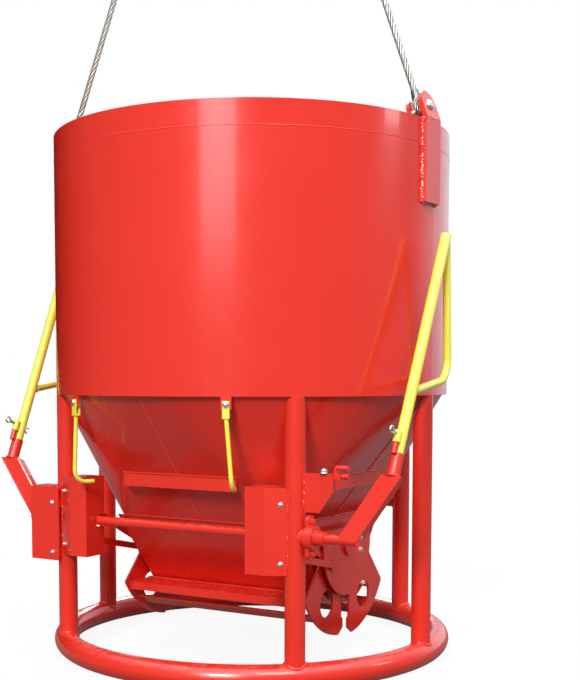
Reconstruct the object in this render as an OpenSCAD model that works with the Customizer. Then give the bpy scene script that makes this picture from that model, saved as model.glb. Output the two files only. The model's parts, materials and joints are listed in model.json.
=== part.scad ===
// Concrete bucket of about 2.5 cubic metres: a round drum and a square hopper
// on six legs, with a double clamshell gate worked by two side levers.
// Millimetres, +Z up, +Y to the rear, origin on the ground under the drum's axis.

/* [Drum] */
// Outer radius of the drum
drum_r = 750; // [700:5:800]
// Wall of the drum
drum_wall = 5; // [4:0.5:8]
// Height of the drum
drum_h = 955; // [850:5:1050]
// Height of the drum's lower edge above the ground
drum_base_z = 980; // [940:5:1020]
// Height of the band inside the rim
rim_band_h = 85; // [60:1:120]
// Thickness of the band inside the rim
rim_band_t = 8; // [5:0.5:12]

/* [Hopper] */
// Wall of the hopper
hopper_wall = 6; // [4:0.5:9]
// Height of the hopper's upper edge above the drum's lower edge
skirt_h = 18; // [10:1:40]
// Half side of the square neck
neck_half = 355; // [335:1:370]
// Height of the neck above the ground
neck_z = 520; // [505:1:540]
// Lower edge of the stiffener bars
stiffener_z = 648; // [620:1:700]
// Height of the stiffener bars at their back face
stiffener_h = 40; // [25:1:55]
// Half length of the stiffener bars
stiffener_half = 242; // [200:1:250]
// Thickness of the stiffener bars
stiffener_t = 8; // [5:0.5:12]

/* [Chute] */
// Wall of the chute's side plates
chute_wall = 8; // [5:0.5:12]
// Half width of the sloping chute plates
chute_plate_half = 385; // [375:1:390]
// Height of the chute's lower edge above the ground
chute_low_z = 240; // [236:1:252]

/* [Gate] */
// Height of the gate's axis above the ground
gate_z = 420; // [416:1:424]
// Outer radius of the gate's side plates
gate_r = 342; // [325:1:348]
// Radius of the disc round the gate's axis
gate_disc_r = 190; // [170:1:200]
// Height of the disc's top above the axis
gate_disc_top = 60; // [45:1:70]
// Thickness of the gate's side plates
gate_plate_t = 8; // [6:0.5:9]
// Inner radius of the curved shells
gate_shell_r = 223; // [222:0.5:226]
// Thickness of the curved shells
gate_shell_t = 6; // [4:0.5:8]
// Half angle of one shell
gate_shell_a = 40; // [38:1:42]
// Radius of the round holes in the side plates
gate_hole_r = 51; // [35:1:56]
// Gap between the two gate halves
gate_slot = 26; // [16:1:34]
// Diameter of the gate's axles
gate_pin_d = 50; // [36:1:60]

/* [Frame] */
// Distance of the base ring's centre line outside the circle of the legs
ring_out = 5; // [0:0.5:12]
// Diameter of the base ring's tube
ring_d = 88.9; // [84:0.1:102]
// Depth of the flat worn under the base ring
ring_flat = 1; // [0.5:0.1:2]
// Diameter of the legs
leg_d = 70; // [64:0.1:78]
// Distance of the circle of the legs inside the drum's wall
leg_inset = 31; // [24:0.5:38]
// Angle of the front legs from the front
front_leg_a = 43; // [41:0.25:45]
// Angle of the rear legs from the front
rear_leg_a = 150; // [140:1:160]
// Diameter of the rear tie bar
tie_d = 38; // [26:1:48]

/* [Shaft and levers] */
// Diameter of the cross shaft
shaft_d = 33.7; // [30:0.1:38]
// Height of the cross shaft above the ground
shaft_z = 516; // [508:1:524]
// Length of the cross shaft beyond the middle of the lever arms
shaft_over = 32; // [20:1:50]
// Outer diameter of the bushes in the front legs
bush_d = 50; // [46:1:56]
// Height of the bearing flanges
flange_h = 148; // [130:1:160]
// Diameter of the bearing housings
housing_d = 82; // [70:1:90]
// Width of the lever arm's box section
arm_w = 62; // [50:1:70]
// Depth of the lever arm's box section
arm_d = 34; // [24:1:44]
// Length of the lever arm
arm_l = 250; // [235:1:260]
// Outer diameter of the handle tube
handle_d = 37; // [35:1:42]
// Diameter of the lever stub inside the handle tube
stub_d = 30; // [26:1:31]
// Length of the handle from the arm's head to its top
handle_l = 883; // [800:1:900]
// Diameter of the handle's bow
bow_d = 28; // [22:1:32]

/* [Covers] */
// Sheet of the crank covers
cover_t = 4; // [2:0.5:6]
// Height of the crank covers' lower edge
cover_z = 388; // [370:1:400]
// Height of the crank covers
cover_h = 292; // [270:1:310]

/* [Lugs and hooks] */
// Width of the outer lug plates
lug_w = 108; // [95:1:125]
// Thickness of the outer lug plates
lug_t = 16; // [12:1:22]
// Length of the outer lug plates below the rim
lug_l = 287; // [240:1:320]
// Lean of the lugs above the rim
lug_lean = 20; // [16:1:24]
// Distance of the lug's bolt from the bend
lug_eye_h = 48; // [40:1:60]
// Diameter of the lug's bolt
lug_bolt_d = 28; // [20:1:34]
// Clear gap between the two plates of a lug
lug_gap = 44; // [38:1:48]
// Diameter of the hook rods
hook_d = 15; // [12:0.5:18]
// Length of the hook rods from bolt to foot
hook_l = 285; // [250:1:300]
// Diameter of the sling ropes
rope_d = 22; // [16:1:24]

/* [Hidden] */
$fn = 64;
red = [0.82, 0.12, 0.09];
yellow = [0.95, 0.9, 0.12];
zinc = [0.75, 0.76, 0.78];
rope_grey = [0.5, 0.5, 0.48];

// Fits and overruns
cut = 2;
skin = 0.5;
seat = 0.3;
running = 0.06;
side_play = 2;
seal_gap = 5;
open_pivot = 8;

// Heights and walls that follow from the driving sizes
drum_in_r = drum_r - drum_wall;
rim_z = drum_base_z + drum_h;
hopper_top_z = drum_base_z + skirt_h;
slope_h = hopper_top_z - skin - neck_z;
slope = (drum_in_r - neck_half) / slope_h;
slope_wall = hopper_wall * sqrt(1 + slope * slope);
function wall_y(z) = neck_half + slope * (z - neck_z);

// Places of the legs and the shaft
leg_r = leg_d / 2;
leg_circle_r = drum_r - leg_inset;
ring_r = leg_circle_r + ring_out;
ring_tube_r = ring_d / 2;
ring_z = ring_tube_r - ring_flat;
front_leg_x = leg_circle_r * sin(front_leg_a);
shaft_y = -leg_circle_r * cos(front_leg_a);
rear_leg_x = leg_circle_r * sin(rear_leg_a);
rear_leg_y = -leg_circle_r * cos(rear_leg_a);

// Layers of the gate along X, from the chute outwards
plate_gap = 40;
front_plate_x = neck_half + plate_gap;
front_link_x = front_plate_x + gate_plate_t + side_play;
link_t = 8;
rear_plate_x = front_link_x + link_t + side_play;
rear_link_x = rear_plate_x + gate_plate_t + side_play;
axle_end_x = rear_link_x + seat;
axle_head_t = 10;
axle_head_r = gate_pin_d * 0.8;
hub_r = gate_pin_d * 0.9;

// Gate plate outline
wing_tip_y = 290;
wing_tip_drop = 168;
notch_y = 40;
notch_h = 26;
slot_shut = 3;
slot_low = 284;
slot_ramp = 10;
hole_y = 130;
hole_drop = 207;
flange_reach = 262;
flange_lip = 30;
tie_w = 45;
tie_t = 10;
tie_a = 38;
tie_in = 22;
tie_r = gate_r - tie_in;

// Cranks and links
crank_up_r = 52;
crank_up_a = 78;
crank_low_r = 70;
crank_low_a = -116;
crank_pin_r = 8;
crank_w = 38;
crank_eye_r = 22;
crank_t = gate_plate_t;
link_w = 24;
link_eye_r = 26;
gate_eye_r = 22;
front_pin_y = -130;
front_pin_drop = 50;
front_pin_z = gate_z - front_pin_drop;
rear_pin_y = -130;
rear_pin_drop = 60;
rear_pin_z = gate_z - rear_pin_drop;
link_pin_r = 11;
boss = 0.6;
rivet = 1.2;

// Bushes and bearing flanges of the shaft
bush_in_x = rear_link_x + link_t + side_play;
bush_over = 14;
bush_out_x = front_leg_x + leg_r + bush_over;
flange_t = 13;
flange_ear_r = 20;
housing_l = 16;
collar_l = 36;
collar_wall = 8;
collar_d = shaft_d + 2 * collar_wall;
flange_bolt_r = 10;
flange_bolt_h = 12;

// Lever arm, stub, handle and its bow
arm_foot = 60;
arm_out_a = 30.3;
arm_back_a = 15;
end_plate_t = 8;
end_plate_w = 26;
end_plate_h = 56;
end_bolt_r = 6;
end_bolt_h = 5;
handle_out_a = 1.5;
handle_back_a = 24.65;
stub_l = 175;
stub_foot_d = 44;
handle_s = 79;
bow_top_s = 868;
bow_off = 14;
bow_a = 30.8;
bow_leg = 472;
bow_weld_s = 298;
bow_bend_r = 75;
// The bend is a little thinner than the bow's straight legs, which run into it
bow_step = 0.4;
sleeve_d = 26;
sleeve_l = 40;
sleeve_s = 108;
peg_d = 20;
peg_s = 70;
peg_foot = 8;
linch_d = 9;
linch_up = 25;
linch_s = sleeve_s + linch_up;
linch_head = 48;
linch_tail = 22;
sleeve_weld = 1;
sleeve_y = handle_d / 2 + sleeve_d / 2 - sleeve_weld;

// Crank covers: plan sizes
cover_front = 74;
cover_back = 30;
cover_front_y = shaft_y - cover_front;
cover_back_y = shaft_y + cover_back;
cover_in = 56;
cover_in_x = front_plate_x - cover_in;
cover_leg_in = 10;
cover_leg_x = front_leg_x - cover_leg_in;
cover_corner = 65.4;
cover_corner_x = cover_leg_x - cover_corner;
cover_leg_y = shaft_y - leg_r - cover_t;
cover_notch = 6;
cover_notch_r = shaft_d / 2 + cover_notch;
outer_from_leg = -5;
outer_in_x = front_leg_x + outer_from_leg;
outer_gap = 12.6;
outer_out_x = bush_out_x + flange_t + housing_l + collar_l + outer_gap;
arm_gap = 73;
arm_x = outer_out_x + arm_gap;
shaft_half = arm_x + shaft_over;
arm_left_in = 76;
arm_left_x = arm_x - arm_left_in;
arm_left_over = 44;
shaft_left = arm_left_x + arm_left_over;
arm_rise = arm_l * cos(arm_out_a);
arm_left_run = arm_l * sin(arm_out_a) + arm_left_in;
arm_left_a = atan2(arm_left_run, arm_rise);
arm_left_l = norm([arm_left_run, arm_rise]);
outer_front = 58;
outer_front_y = shaft_y - outer_front;
outer_drop = 26;
outer_z = cover_z - outer_drop;
outer_h = 276;
outer_arm_clear = 62;
outer_side_h = outer_z + outer_h - shaft_z - outer_arm_clear;
cover_bolt_r = 9;
cover_bolt_edge = 30;
cover_bolt_low = 38;
cover_bolt_high = 56;
mount_t = 6;
mount_w = 34;

// Lock bracket on the right front leg
bracket_t = 8;
bracket_w = 141;
bracket_h = 130;
bracket_z = 600;
bracket_cut_w = 51;
bracket_cut_h = 68;
clamp_l = 46;
clamp_r = 9;
clamp_bolt_r = 10;

// Lugs
lug_right_a = 87;
lug_left_a = -68;
lug_bend_h = 6;
lug_in_w = 84;
lug_in_t = 12;
lug_in_drop = 130;
lug_bolt_head_r = 21;
lug_bolt_head_t = 13;
lug_bolt_over = 16;
lug_out_r = drum_r + seat + lug_t;
lug_bend_z = rim_z + lug_bend_h;
lug_mid = lug_t + lug_gap / 2;
eye_r = lug_out_r - lug_mid * cos(lug_lean) - lug_eye_h * sin(lug_lean);
eye_z = lug_bend_z - lug_mid * sin(lug_lean) + lug_eye_h * cos(lug_lean);

// Hooks
hook_a = 25;
tab_w = 36;
tab_t = 8;
tab_h = 42;
hook_bolt_r = 7;
hook_bolt_drop = 26;
fork_t = 6;
fork_w = 24;
fork_l = 40;
hook_bend_r = 45;
foot_l = 75;
hook_splay = 4.5;
hook_head_r = 12;
hook_head_t = 7;
hook_nut_t = 5;

// Sling ropes: eye on the lug's bolt, ferrule, rope, and an upper eye
sling_top_z = 4050;
sling_lean = 40;
eye_tube_r = rope_d / 2;
eye_step = 1;
eye_play = 1;
eye_ring_r = lug_bolt_d / 2 + eye_tube_r + eye_play;
ferrule_d = 34;
ferrule_l = 36;
ferrule_s = 40;
rope_l = 500;
rope_sides = 10;
rope_rings = 8;

// Basic shapes: a bar along X, plates square to X and to Y, and a rod between two points
module x_bar(r, x0, x1, y, z) {
    translate([x0, y, z]) rotate([0, 90, 0]) cylinder(r = r, h = x1 - x0);
}
module plate_yz(x, t) {
    translate([x, 0, 0]) rotate([90, 0, 90]) linear_extrude(t) children();
}
module plate_xz(y, t) {
    translate([0, y + t, 0]) rotate([90, 0, 0]) linear_extrude(t) children();
}
module both_sides(left, right) {
    if (right) children();
    if (left) mirror([1, 0, 0]) children();
}
module at_angle(a, r, z) {
    rotate([0, 0, a]) translate([0, -r, z]) children();
}
module rod(p, q, r) {
    d = q - p;
    l = norm(d);
    translate(p) rotate([0, acos(d.z / l), atan2(d.y, d.x)]) cylinder(r = r, h = l);
}

// Base ring: a rolled tube with a flat worn under it
module ring_tube() {
    translate([0, 0, ring_z]) rotate_extrude($fn = 128) translate([ring_r, 0]) circle(ring_tube_r);
}
module base_ring() {
    color(red) difference() {
        ring_tube();
        translate([0, 0, -ring_d]) cylinder(r = ring_r + ring_d, h = ring_d);
    }
}

// One leg: notched over the ring, cut back under the hopper, bored for the bush in front
module hopper_cone() {
    neck_r = neck_half * sqrt(2);
    translate([0, 0, neck_z]) cylinder(r1 = neck_r + seat, r2 = drum_in_r + seat, h = slope_h, $fn = 128);
}
module leg(a, bored) {
    color(red) difference() {
        at_angle(a, leg_circle_r, ring_z) cylinder(d = leg_d, h = drum_base_z - ring_z);
        ring_tube();
        hopper_cone();
        if (bored) x_bar(bush_d / 2, -drum_r, drum_r, shaft_y, shaft_z);
    }
}
module leg_front_left() { leg(-front_leg_a, true); }
module leg_front_right() { leg(front_leg_a, true); }
module leg_side_left() { leg(-90, false); }
module leg_side_right() { leg(90, false); }
module leg_rear_left() { leg(-rear_leg_a, false); }
module leg_rear_right() { leg(rear_leg_a, false); }

module rear_tie_bar() {
    color(red) difference() {
        x_bar(tie_d / 2, -rear_leg_x, rear_leg_x, rear_leg_y, shaft_z);
        for (side = [-1, 1]) translate([side * rear_leg_x, rear_leg_y, 0]) cylinder(d = leg_d, h = drum_base_z);
    }
}

// Drum shell with the band that stiffens its rim on the inside
module drum_shell() {
    color(red) translate([0, 0, drum_base_z]) difference() {
        cylinder(r = drum_r, h = drum_h, $fn = 128);
        translate([0, 0, -cut]) cylinder(r = drum_in_r, h = drum_h + 2 * cut, $fn = 128);
    }
}
module rim_band() {
    color(red) translate([0, 0, rim_z - rim_band_h]) difference() {
        cylinder(r = drum_in_r, h = rim_band_h, $fn = 128);
        translate([0, 0, -cut]) cylinder(r = drum_in_r - rim_band_t, h = rim_band_h + 2 * cut, $fn = 128);
    }
}

// Hopper: a round-to-square transition, hollow, open above and below
module transition(inset) {
    side = 2 * (neck_half - inset);
    hull() {
        translate([0, 0, hopper_top_z - skin]) cylinder(r = drum_in_r - inset, h = skin, $fn = 96);
        translate([-side / 2, -side / 2, neck_z]) cube([side, side, skin]);
    }
}
module hopper() {
    side = 2 * (neck_half - slope_wall);
    color(red) difference() {
        transition(0);
        transition(slope_wall);
        translate([-side / 2, -side / 2, neck_z - cut]) cube([side, side, cut + skin]);
        translate([0, 0, hopper_top_z - skin]) cylinder(r = drum_in_r - slope_wall, h = cut + skin, $fn = 96);
    }
}

// Four flat bars stand on the hopper's flats, their upper edges cut to the slope
module stiffener() {
    top_z = stiffener_z + stiffener_h;
    back_y = -wall_y(top_z);
    plate_yz(-stiffener_half, 2 * stiffener_half) polygon([
        [back_y, stiffener_z],
        [back_y, top_z],
        [back_y - stiffener_t, top_z + stiffener_t / slope],
        [back_y - stiffener_t, stiffener_z]]);
}
module hopper_stiffeners() {
    color(red) for (a = [0 : 90 : 270]) rotate([0, 0, a]) stiffener();
}

// Chute: two sloping plates that carry the hopper's front and back on, and two side plates
module chute_slope() {
    low_y = -wall_y(chute_low_z);
    color(red) plate_yz(-chute_plate_half, 2 * chute_plate_half) polygon([
        [-neck_half, neck_z],
        [low_y, chute_low_z],
        [low_y + slope_wall, chute_low_z],
        [-neck_half + slope_wall, neck_z]]);
}
module chute_front_plate() { chute_slope(); }
module chute_rear_plate() { mirror([0, 1, 0]) chute_slope(); }
module chute_side() {
    top_half = neck_half - slope_wall;
    low_half = wall_y(chute_low_z) - slope_wall;
    seal_r = gate_shell_r - seal_gap;
    color(red) {
        plate_yz(neck_half - chute_wall, chute_wall) polygon([
            [-top_half, neck_z], [-low_half, chute_low_z], [low_half, chute_low_z], [top_half, neck_z]]);
        intersection() {
            x_bar(seal_r, neck_half - chute_wall, neck_half, 0, gate_z);
            translate([0, -low_half, 0]) cube([drum_r, 2 * low_half, chute_low_z]);
        }
    }
}
module chute_side_left() { both_sides(true, false) chute_side(); }
module chute_side_right() { both_sides(false, true) chute_side(); }

// Gate axles: a collar on the chute's side, the pin, and the head that keeps the plates on
module gate_axles() {
    color(red) for (side = [0, 1]) mirror([side, 0, 0]) {
        x_bar(hub_r, neck_half, front_plate_x - seat, 0, gate_z);
        x_bar(gate_pin_d / 2, front_plate_x - seat, axle_end_x, 0, gate_z);
        x_bar(axle_head_r, axle_end_x, axle_end_x + axle_head_t, 0, gate_z);
    }
}

// Side plate of the rear gate half, about the gate's axis: a disc with a wing and a round hole
module gate_outline_solid(x) {
    intersection() {
        x_bar(gate_disc_r, x, x + gate_plate_t, 0, 0);
        translate([x, -gate_r, -gate_r]) cube([gate_plate_t, 2 * gate_r, gate_r + gate_disc_top]);
    }
    intersection() {
        x_bar(gate_r, x, x + gate_plate_t, 0, 0);
        plate_yz(x, gate_plate_t) polygon([
            [gate_slot / 2, 0],
            [gate_disc_r * sqrt(1 / 2), 0],
            [wing_tip_y, -wing_tip_drop],
            [gate_r, -gate_r],
            [notch_y, -gate_r],
            [slot_shut / 2, notch_h - gate_r],
            [slot_shut / 2, -slot_low],
            [gate_slot / 2, slot_ramp - slot_low]]);
    }
}
module gate_plate(x, hub, pin_y, pin_z) {
    translate([0, 0, gate_z]) difference() {
        union() {
            gate_outline_solid(x);
            x_bar(hub_r, x, x + gate_plate_t + hub, 0, 0);
        }
        x_bar(gate_pin_d / 2 + running, x - cut, x + gate_plate_t + hub + cut, 0, 0);
        x_bar(gate_hole_r, x - cut, x + gate_plate_t + cut, hole_y, -hole_drop);
        x_bar(link_pin_r, x - cut, x + gate_plate_t + cut, pin_y, pin_z - gate_z);
    }
}
module front_gate_plate() {
    color(red) mirror([0, 1, 0]) gate_plate(front_plate_x, 2 * side_play + link_t - seat, -front_pin_y, front_pin_z);
}
module rear_gate_plate() {
    color(red) gate_plate(rear_plate_x, side_play, rear_pin_y, rear_pin_z);
}
module gate_front_plate_left() { both_sides(true, false) front_gate_plate(); }
module gate_front_plate_right() { both_sides(false, true) front_gate_plate(); }
module gate_rear_plate_left() { both_sides(true, false) rear_gate_plate(); }
module gate_rear_plate_right() { both_sides(false, true) rear_gate_plate(); }

// Curved shell of the rear half with its bent flange, between the side plates
module gate_shell(half) {
    r_out = gate_shell_r + gate_shell_t;
    edge_y = r_out * sin(gate_shell_a);
    edge_z = gate_z - r_out * cos(gate_shell_a);
    color(red) {
        difference() {
            x_bar(r_out, -half, half, 0, gate_z);
            x_bar(gate_shell_r, -half - cut, half + cut, 0, gate_z);
            plate_yz(-half - cut, 2 * (half + cut)) polygon([
                [seat, gate_z],
                [seat, gate_z - 2 * r_out],
                [-2 * r_out, gate_z - 2 * r_out],
                [-2 * r_out, gate_z + 2 * r_out],
                [2 * r_out, gate_z + 2 * r_out],
                [2 * r_out * sin(gate_shell_a), gate_z - 2 * r_out * cos(gate_shell_a)]]);
        }
        plate_yz(-half, 2 * half) polygon([
            [edge_y - gate_shell_t * cos(gate_shell_a), edge_z - gate_shell_t * sin(gate_shell_a)],
            [flange_reach, edge_z - gate_shell_t],
            [flange_reach, edge_z - flange_lip],
            [flange_reach + gate_shell_t, edge_z - flange_lip],
            [flange_reach + gate_shell_t, edge_z],
            [edge_y, edge_z]]);
    }
}
module gate_front_shell() { mirror([0, 1, 0]) gate_shell(front_plate_x); }
module gate_rear_shell() { gate_shell(rear_plate_x); }

// Flat bar that ties the feet of one half's side plates
module gate_tie(half) {
    color(red) translate([-half, 0, gate_z]) rotate([tie_a, 0, 0])
        translate([0, -tie_w / 2, -tie_r - tie_t / 2]) cube([2 * half, tie_w, tie_t]);
}
module gate_front_tie() { mirror([0, 1, 0]) gate_tie(front_plate_x); }
module gate_rear_tie() { gate_tie(rear_plate_x); }

// Bushes through the front legs, with flanged bearings outside
module shaft_bush() {
    color(red) difference() {
        x_bar(bush_d / 2, bush_in_x, bush_out_x, shaft_y, shaft_z);
        x_bar(shaft_d / 2 + running, bush_in_x - cut, bush_out_x + cut, shaft_y, shaft_z);
    }
}
module shaft_bush_left() { both_sides(true, false) shaft_bush(); }
module shaft_bush_right() { both_sides(false, true) shaft_bush(); }
module bearing_flange(collar) {
    face_x = bush_out_x + flange_t;
    housing_x = face_x + housing_l;
    ear_z = flange_h / 2 - flange_ear_r;
    color(red) {
        difference() {
            union() {
                x_bar(housing_d / 2, bush_out_x, housing_x, shaft_y, shaft_z);
                if (collar > 0) x_bar(collar_d / 2, housing_x, housing_x + collar, shaft_y, shaft_z);
                translate([bush_out_x + skin, shaft_y - flange_ear_r, shaft_z - ear_z])
                    cube([flange_t - 2 * skin, 2 * flange_ear_r, 2 * ear_z]);
                for (side = [-1, 1])
                    x_bar(flange_ear_r + skin, bush_out_x, face_x, shaft_y, shaft_z + side * ear_z);
            }
            x_bar(shaft_d / 2 + running, bush_out_x - cut, housing_x + collar + cut, shaft_y, shaft_z);
        }
        for (side = [-1, 1])
            x_bar(flange_bolt_r, face_x - skin, face_x + flange_bolt_h, shaft_y, shaft_z + side * ear_z, $fn = 6);
    }
}
module bearing_flange_left() { both_sides(true, false) bearing_flange(0); }
module bearing_flange_right() { both_sides(false, true) bearing_flange(collar_l); }

// Cross shaft and the double cranks on it
module cross_shaft() {
    color(red) x_bar(shaft_d / 2, -shaft_left, shaft_half, shaft_y, shaft_z);
}
function crank_point(r, a) = [shaft_y + r * cos(a), shaft_z + r * sin(a)];
up_pin = crank_point(crank_up_r, crank_up_a);
low_pin = crank_point(crank_low_r, crank_low_a);
module bar_yz(p, q, w, x, t) {
    d = q - p;
    translate([x, p.x, p.y]) rotate([atan2(d.y, d.x), 0, 0]) translate([0, 0, -w / 2]) cube([t, norm(d), w]);
}
module crank() {
    hub = [shaft_y, shaft_z];
    color(red) {
        difference() {
            union() {
                x_bar(shaft_d / 2 + crank_pin_r, rear_plate_x - boss, rear_plate_x + crank_t + boss, shaft_y, shaft_z);
                for (p = [up_pin, low_pin]) {
                    x_bar(crank_eye_r, rear_plate_x - boss, rear_plate_x + crank_t + boss, p.x, p.y);
                    bar_yz(hub, p, crank_w, rear_plate_x, crank_t);
                }
            }
            x_bar(shaft_d / 2, rear_plate_x - cut, rear_plate_x + crank_t + cut, shaft_y, shaft_z);
        }
        x_bar(crank_pin_r, front_link_x, rear_plate_x + crank_t + rivet, up_pin.x, up_pin.y);
        x_bar(crank_pin_r, rear_plate_x - rivet, rear_link_x + link_t, low_pin.x, low_pin.y);
    }
}
module crank_left() { both_sides(true, false) crank(); }
module crank_right() { both_sides(false, true) crank(); }

// Links from the cranks to the gate halves: a tight pin at the gate, a wide eye on the crank pin
module link(gate_pin, crank_end, x, pin_x0, pin_x1) {
    color(red) {
        difference() {
            union() {
                bar_yz(gate_pin, crank_end, link_w, x, link_t);
                x_bar(gate_eye_r, x - boss, x + link_t + boss, gate_pin.x, gate_pin.y);
                x_bar(link_eye_r, x - boss, x + link_t + boss, crank_end.x, crank_end.y);
            }
            x_bar(crank_pin_r + open_pivot, x - cut, x + link_t + cut, crank_end.x, crank_end.y);
        }
        x_bar(link_pin_r - running, pin_x0, pin_x1, gate_pin.x, gate_pin.y);
    }
}
module front_links() {
    for (side = [0, 1]) mirror([side, 0, 0])
        link([front_pin_y, front_pin_z], up_pin, front_link_x, front_plate_x, front_link_x + link_t + rivet);
}
module rear_links() {
    for (side = [0, 1]) mirror([side, 0, 0])
        link([rear_pin_y, rear_pin_z], low_pin, rear_link_x, rear_plate_x, rear_link_x + link_t + rivet);
}

// Lever arms: box section on the shaft's end, leaning outwards and back to the handle's foot
arm_head = [
    arm_x + arm_l * sin(arm_out_a),
    shaft_y + arm_l * cos(arm_out_a) * sin(arm_back_a),
    shaft_z + arm_l * cos(arm_out_a) * cos(arm_back_a)];
module handle_frame() {
    translate(arm_head) rotate([-handle_back_a, 0, 0]) rotate([0, handle_out_a, 0]) children();
}
module arm_bar(x, out_a, l, end_x) {
    difference() {
        translate([x, shaft_y, shaft_z]) rotate([-arm_back_a, 0, 0]) rotate([0, out_a, 0])
            translate([-arm_w / 2, -arm_d / 2, -arm_foot]) cube([arm_w, arm_d, l + arm_foot + arm_w]);
        translate([0, shaft_y - arm_l, shaft_z - arm_l]) cube([2 * arm_x, 2 * arm_l, arm_l]);
        x_bar(shaft_d / 2, 0, end_x, shaft_y, shaft_z);
        handle_frame() translate([-2 * arm_w, -2 * arm_w, 0]) cube([4 * arm_w, 4 * arm_w, arm_l]);
    }
}
module lever_arm_left() {
    clear_x = bush_out_x + flange_t + housing_l + side_play;
    color(red) both_sides(true, false) difference() {
        arm_bar(arm_left_x, arm_left_a, arm_left_l, shaft_left);
        translate([0, shaft_y - arm_l, shaft_z - arm_l]) cube([clear_x, 2 * arm_l, 2 * arm_l]);
    }
}
module lever_arm_right() {
    color(red) {
        arm_bar(arm_x, arm_out_a, arm_l, shaft_half);
        translate([shaft_half, shaft_y - end_plate_w / 2, shaft_z - end_plate_h * 0.6])
            cube([end_plate_t, end_plate_w, end_plate_h]);
        for (share = [-0.45, 0.25])
            x_bar(end_bolt_r, shaft_half + end_plate_t - skin, shaft_half + end_plate_t + end_bolt_h,
                shaft_y, shaft_z + share * end_plate_h, $fn = 6);
    }
}

// Stub that the handle slides over, with a peg beside it that keeps the handle from turning
module lever_stub() {
    color(red) handle_frame() difference() {
        union() {
            cylinder(d = stub_d, h = stub_l);
            cylinder(d = stub_foot_d, h = handle_s - seat);
            translate([0, -sleeve_y, peg_s]) cylinder(d = peg_d, h = sleeve_s + sleeve_l - peg_s);
            translate([-peg_d / 4, -sleeve_y, peg_s]) cube([peg_d / 2, sleeve_y, peg_foot]);
        }
        linch_hole();
    }
}
module linch_hole() {
    translate([0, -drum_r, linch_s]) rotate([-90, 0, 0]) cylinder(d = linch_d, h = 2 * drum_r);
}
module lever_stub_left() { both_sides(true, false) lever_stub(); }
module lever_stub_right() { both_sides(false, true) lever_stub(); }

// Handle: a tube with a bent bow behind it and a short sleeve in front
bow_corner = [bow_off + bow_leg * sin(bow_a), bow_top_s - bow_leg * cos(bow_a)];
bow_return = [-bow_corner.x, bow_weld_s - bow_corner.y];
bow_low_a = atan2(-bow_return.x, -bow_return.y);
bow_turn = bow_a + bow_low_a;
bow_tangent = bow_bend_r * tan(bow_turn / 2);
bow_high_l = bow_leg - bow_tangent;
bow_low_l = norm(bow_return) - bow_tangent;
module bow() {
    start = [bow_corner.x - bow_tangent * sin(bow_a), bow_corner.y + bow_tangent * cos(bow_a)];
    translate([0, start.x, start.y]) rotate([bow_a, 0, 0]) translate([0, -bow_bend_r, 0])
        rotate([90, 0, 90]) {
            translate([bow_bend_r, -cut, 0]) rotate([-90, 0, 0]) cylinder(d = bow_d, h = bow_high_l + cut);
            rotate([0, 0, -bow_turn]) {
                rotate_extrude(angle = bow_turn) translate([bow_bend_r, 0]) circle(d = bow_d - bow_step);
                translate([bow_bend_r, cut, 0]) rotate([90, 0, 0]) cylinder(d = bow_d, h = bow_low_l + cut);
            }
        }
}
module handle() {
    color(yellow) handle_frame() difference() {
        union() {
            translate([0, 0, handle_s]) cylinder(d = handle_d, h = handle_l - handle_s);
            translate([0, -sleeve_y, sleeve_s]) cylinder(d = sleeve_d, h = sleeve_l);
            bow();
        }
        translate([0, 0, -cut]) cylinder(d = stub_d, h = stub_l + cut);
        translate([0, -sleeve_y, 0]) cylinder(d = peg_d, h = sleeve_s + sleeve_l + cut);
        linch_hole();
    }
}
module handle_left() { both_sides(true, false) handle(); }
module handle_right() { both_sides(false, true) handle(); }

// Linchpins through the sleeve, the peg, the tube and the stub
module linchpin() {
    head_y = -sleeve_y - sleeve_d / 2 - linch_head;
    tail_y = handle_d / 2 + linch_tail;
    handle_frame() translate([0, head_y, linch_s]) rotate([-90, 0, 0]) cylinder(d = linch_d, h = tail_y - head_y);
}
module linchpins() {
    color(zinc) for (side = [0, 1]) mirror([side, 0, 0]) linchpin();
}

// Crank covers: sheet bent round the crank, closed on top, open to the rear and below
module cover_plan() {
    polygon([[cover_in_x, cover_back_y], [cover_in_x, cover_front_y], [cover_corner_x, cover_front_y],
        [cover_leg_x, cover_leg_y], [cover_leg_x, cover_leg_y + cover_t],
        [cover_corner_x - cover_t / 4, cover_front_y + cover_t],
        [cover_in_x + cover_t, cover_front_y + cover_t], [cover_in_x + cover_t, cover_back_y]]);
}
module cover_roof() {
    polygon([[cover_in_x, cover_back_y], [cover_in_x, cover_front_y], [cover_corner_x, cover_front_y],
        [cover_leg_x, cover_leg_y], [cover_leg_x, cover_leg_y + cover_t],
        [bush_in_x, cover_leg_y + cover_t], [bush_in_x, cover_back_y]]);
}
module shaft_notch(x0, x1, r, back_y) {
    x_bar(r, x0, x1, shaft_y, shaft_z);
    translate([x0, shaft_y, shaft_z - r]) cube([x1 - x0, back_y - shaft_y + cut, 2 * r]);
}
module crank_cover() {
    color(red) difference() {
        union() {
            translate([0, 0, cover_z]) linear_extrude(cover_h) cover_plan();
            translate([0, 0, cover_z + cover_h - cover_t]) linear_extrude(cover_t) cover_roof();
        }
        shaft_notch(cover_in_x - cut, cover_in_x + cover_t + cut, cover_notch_r, cover_back_y);
    }
}
module crank_cover_left() { both_sides(true, false) crank_cover(); }
module crank_cover_right() { both_sides(false, true) crank_cover(); }

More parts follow.
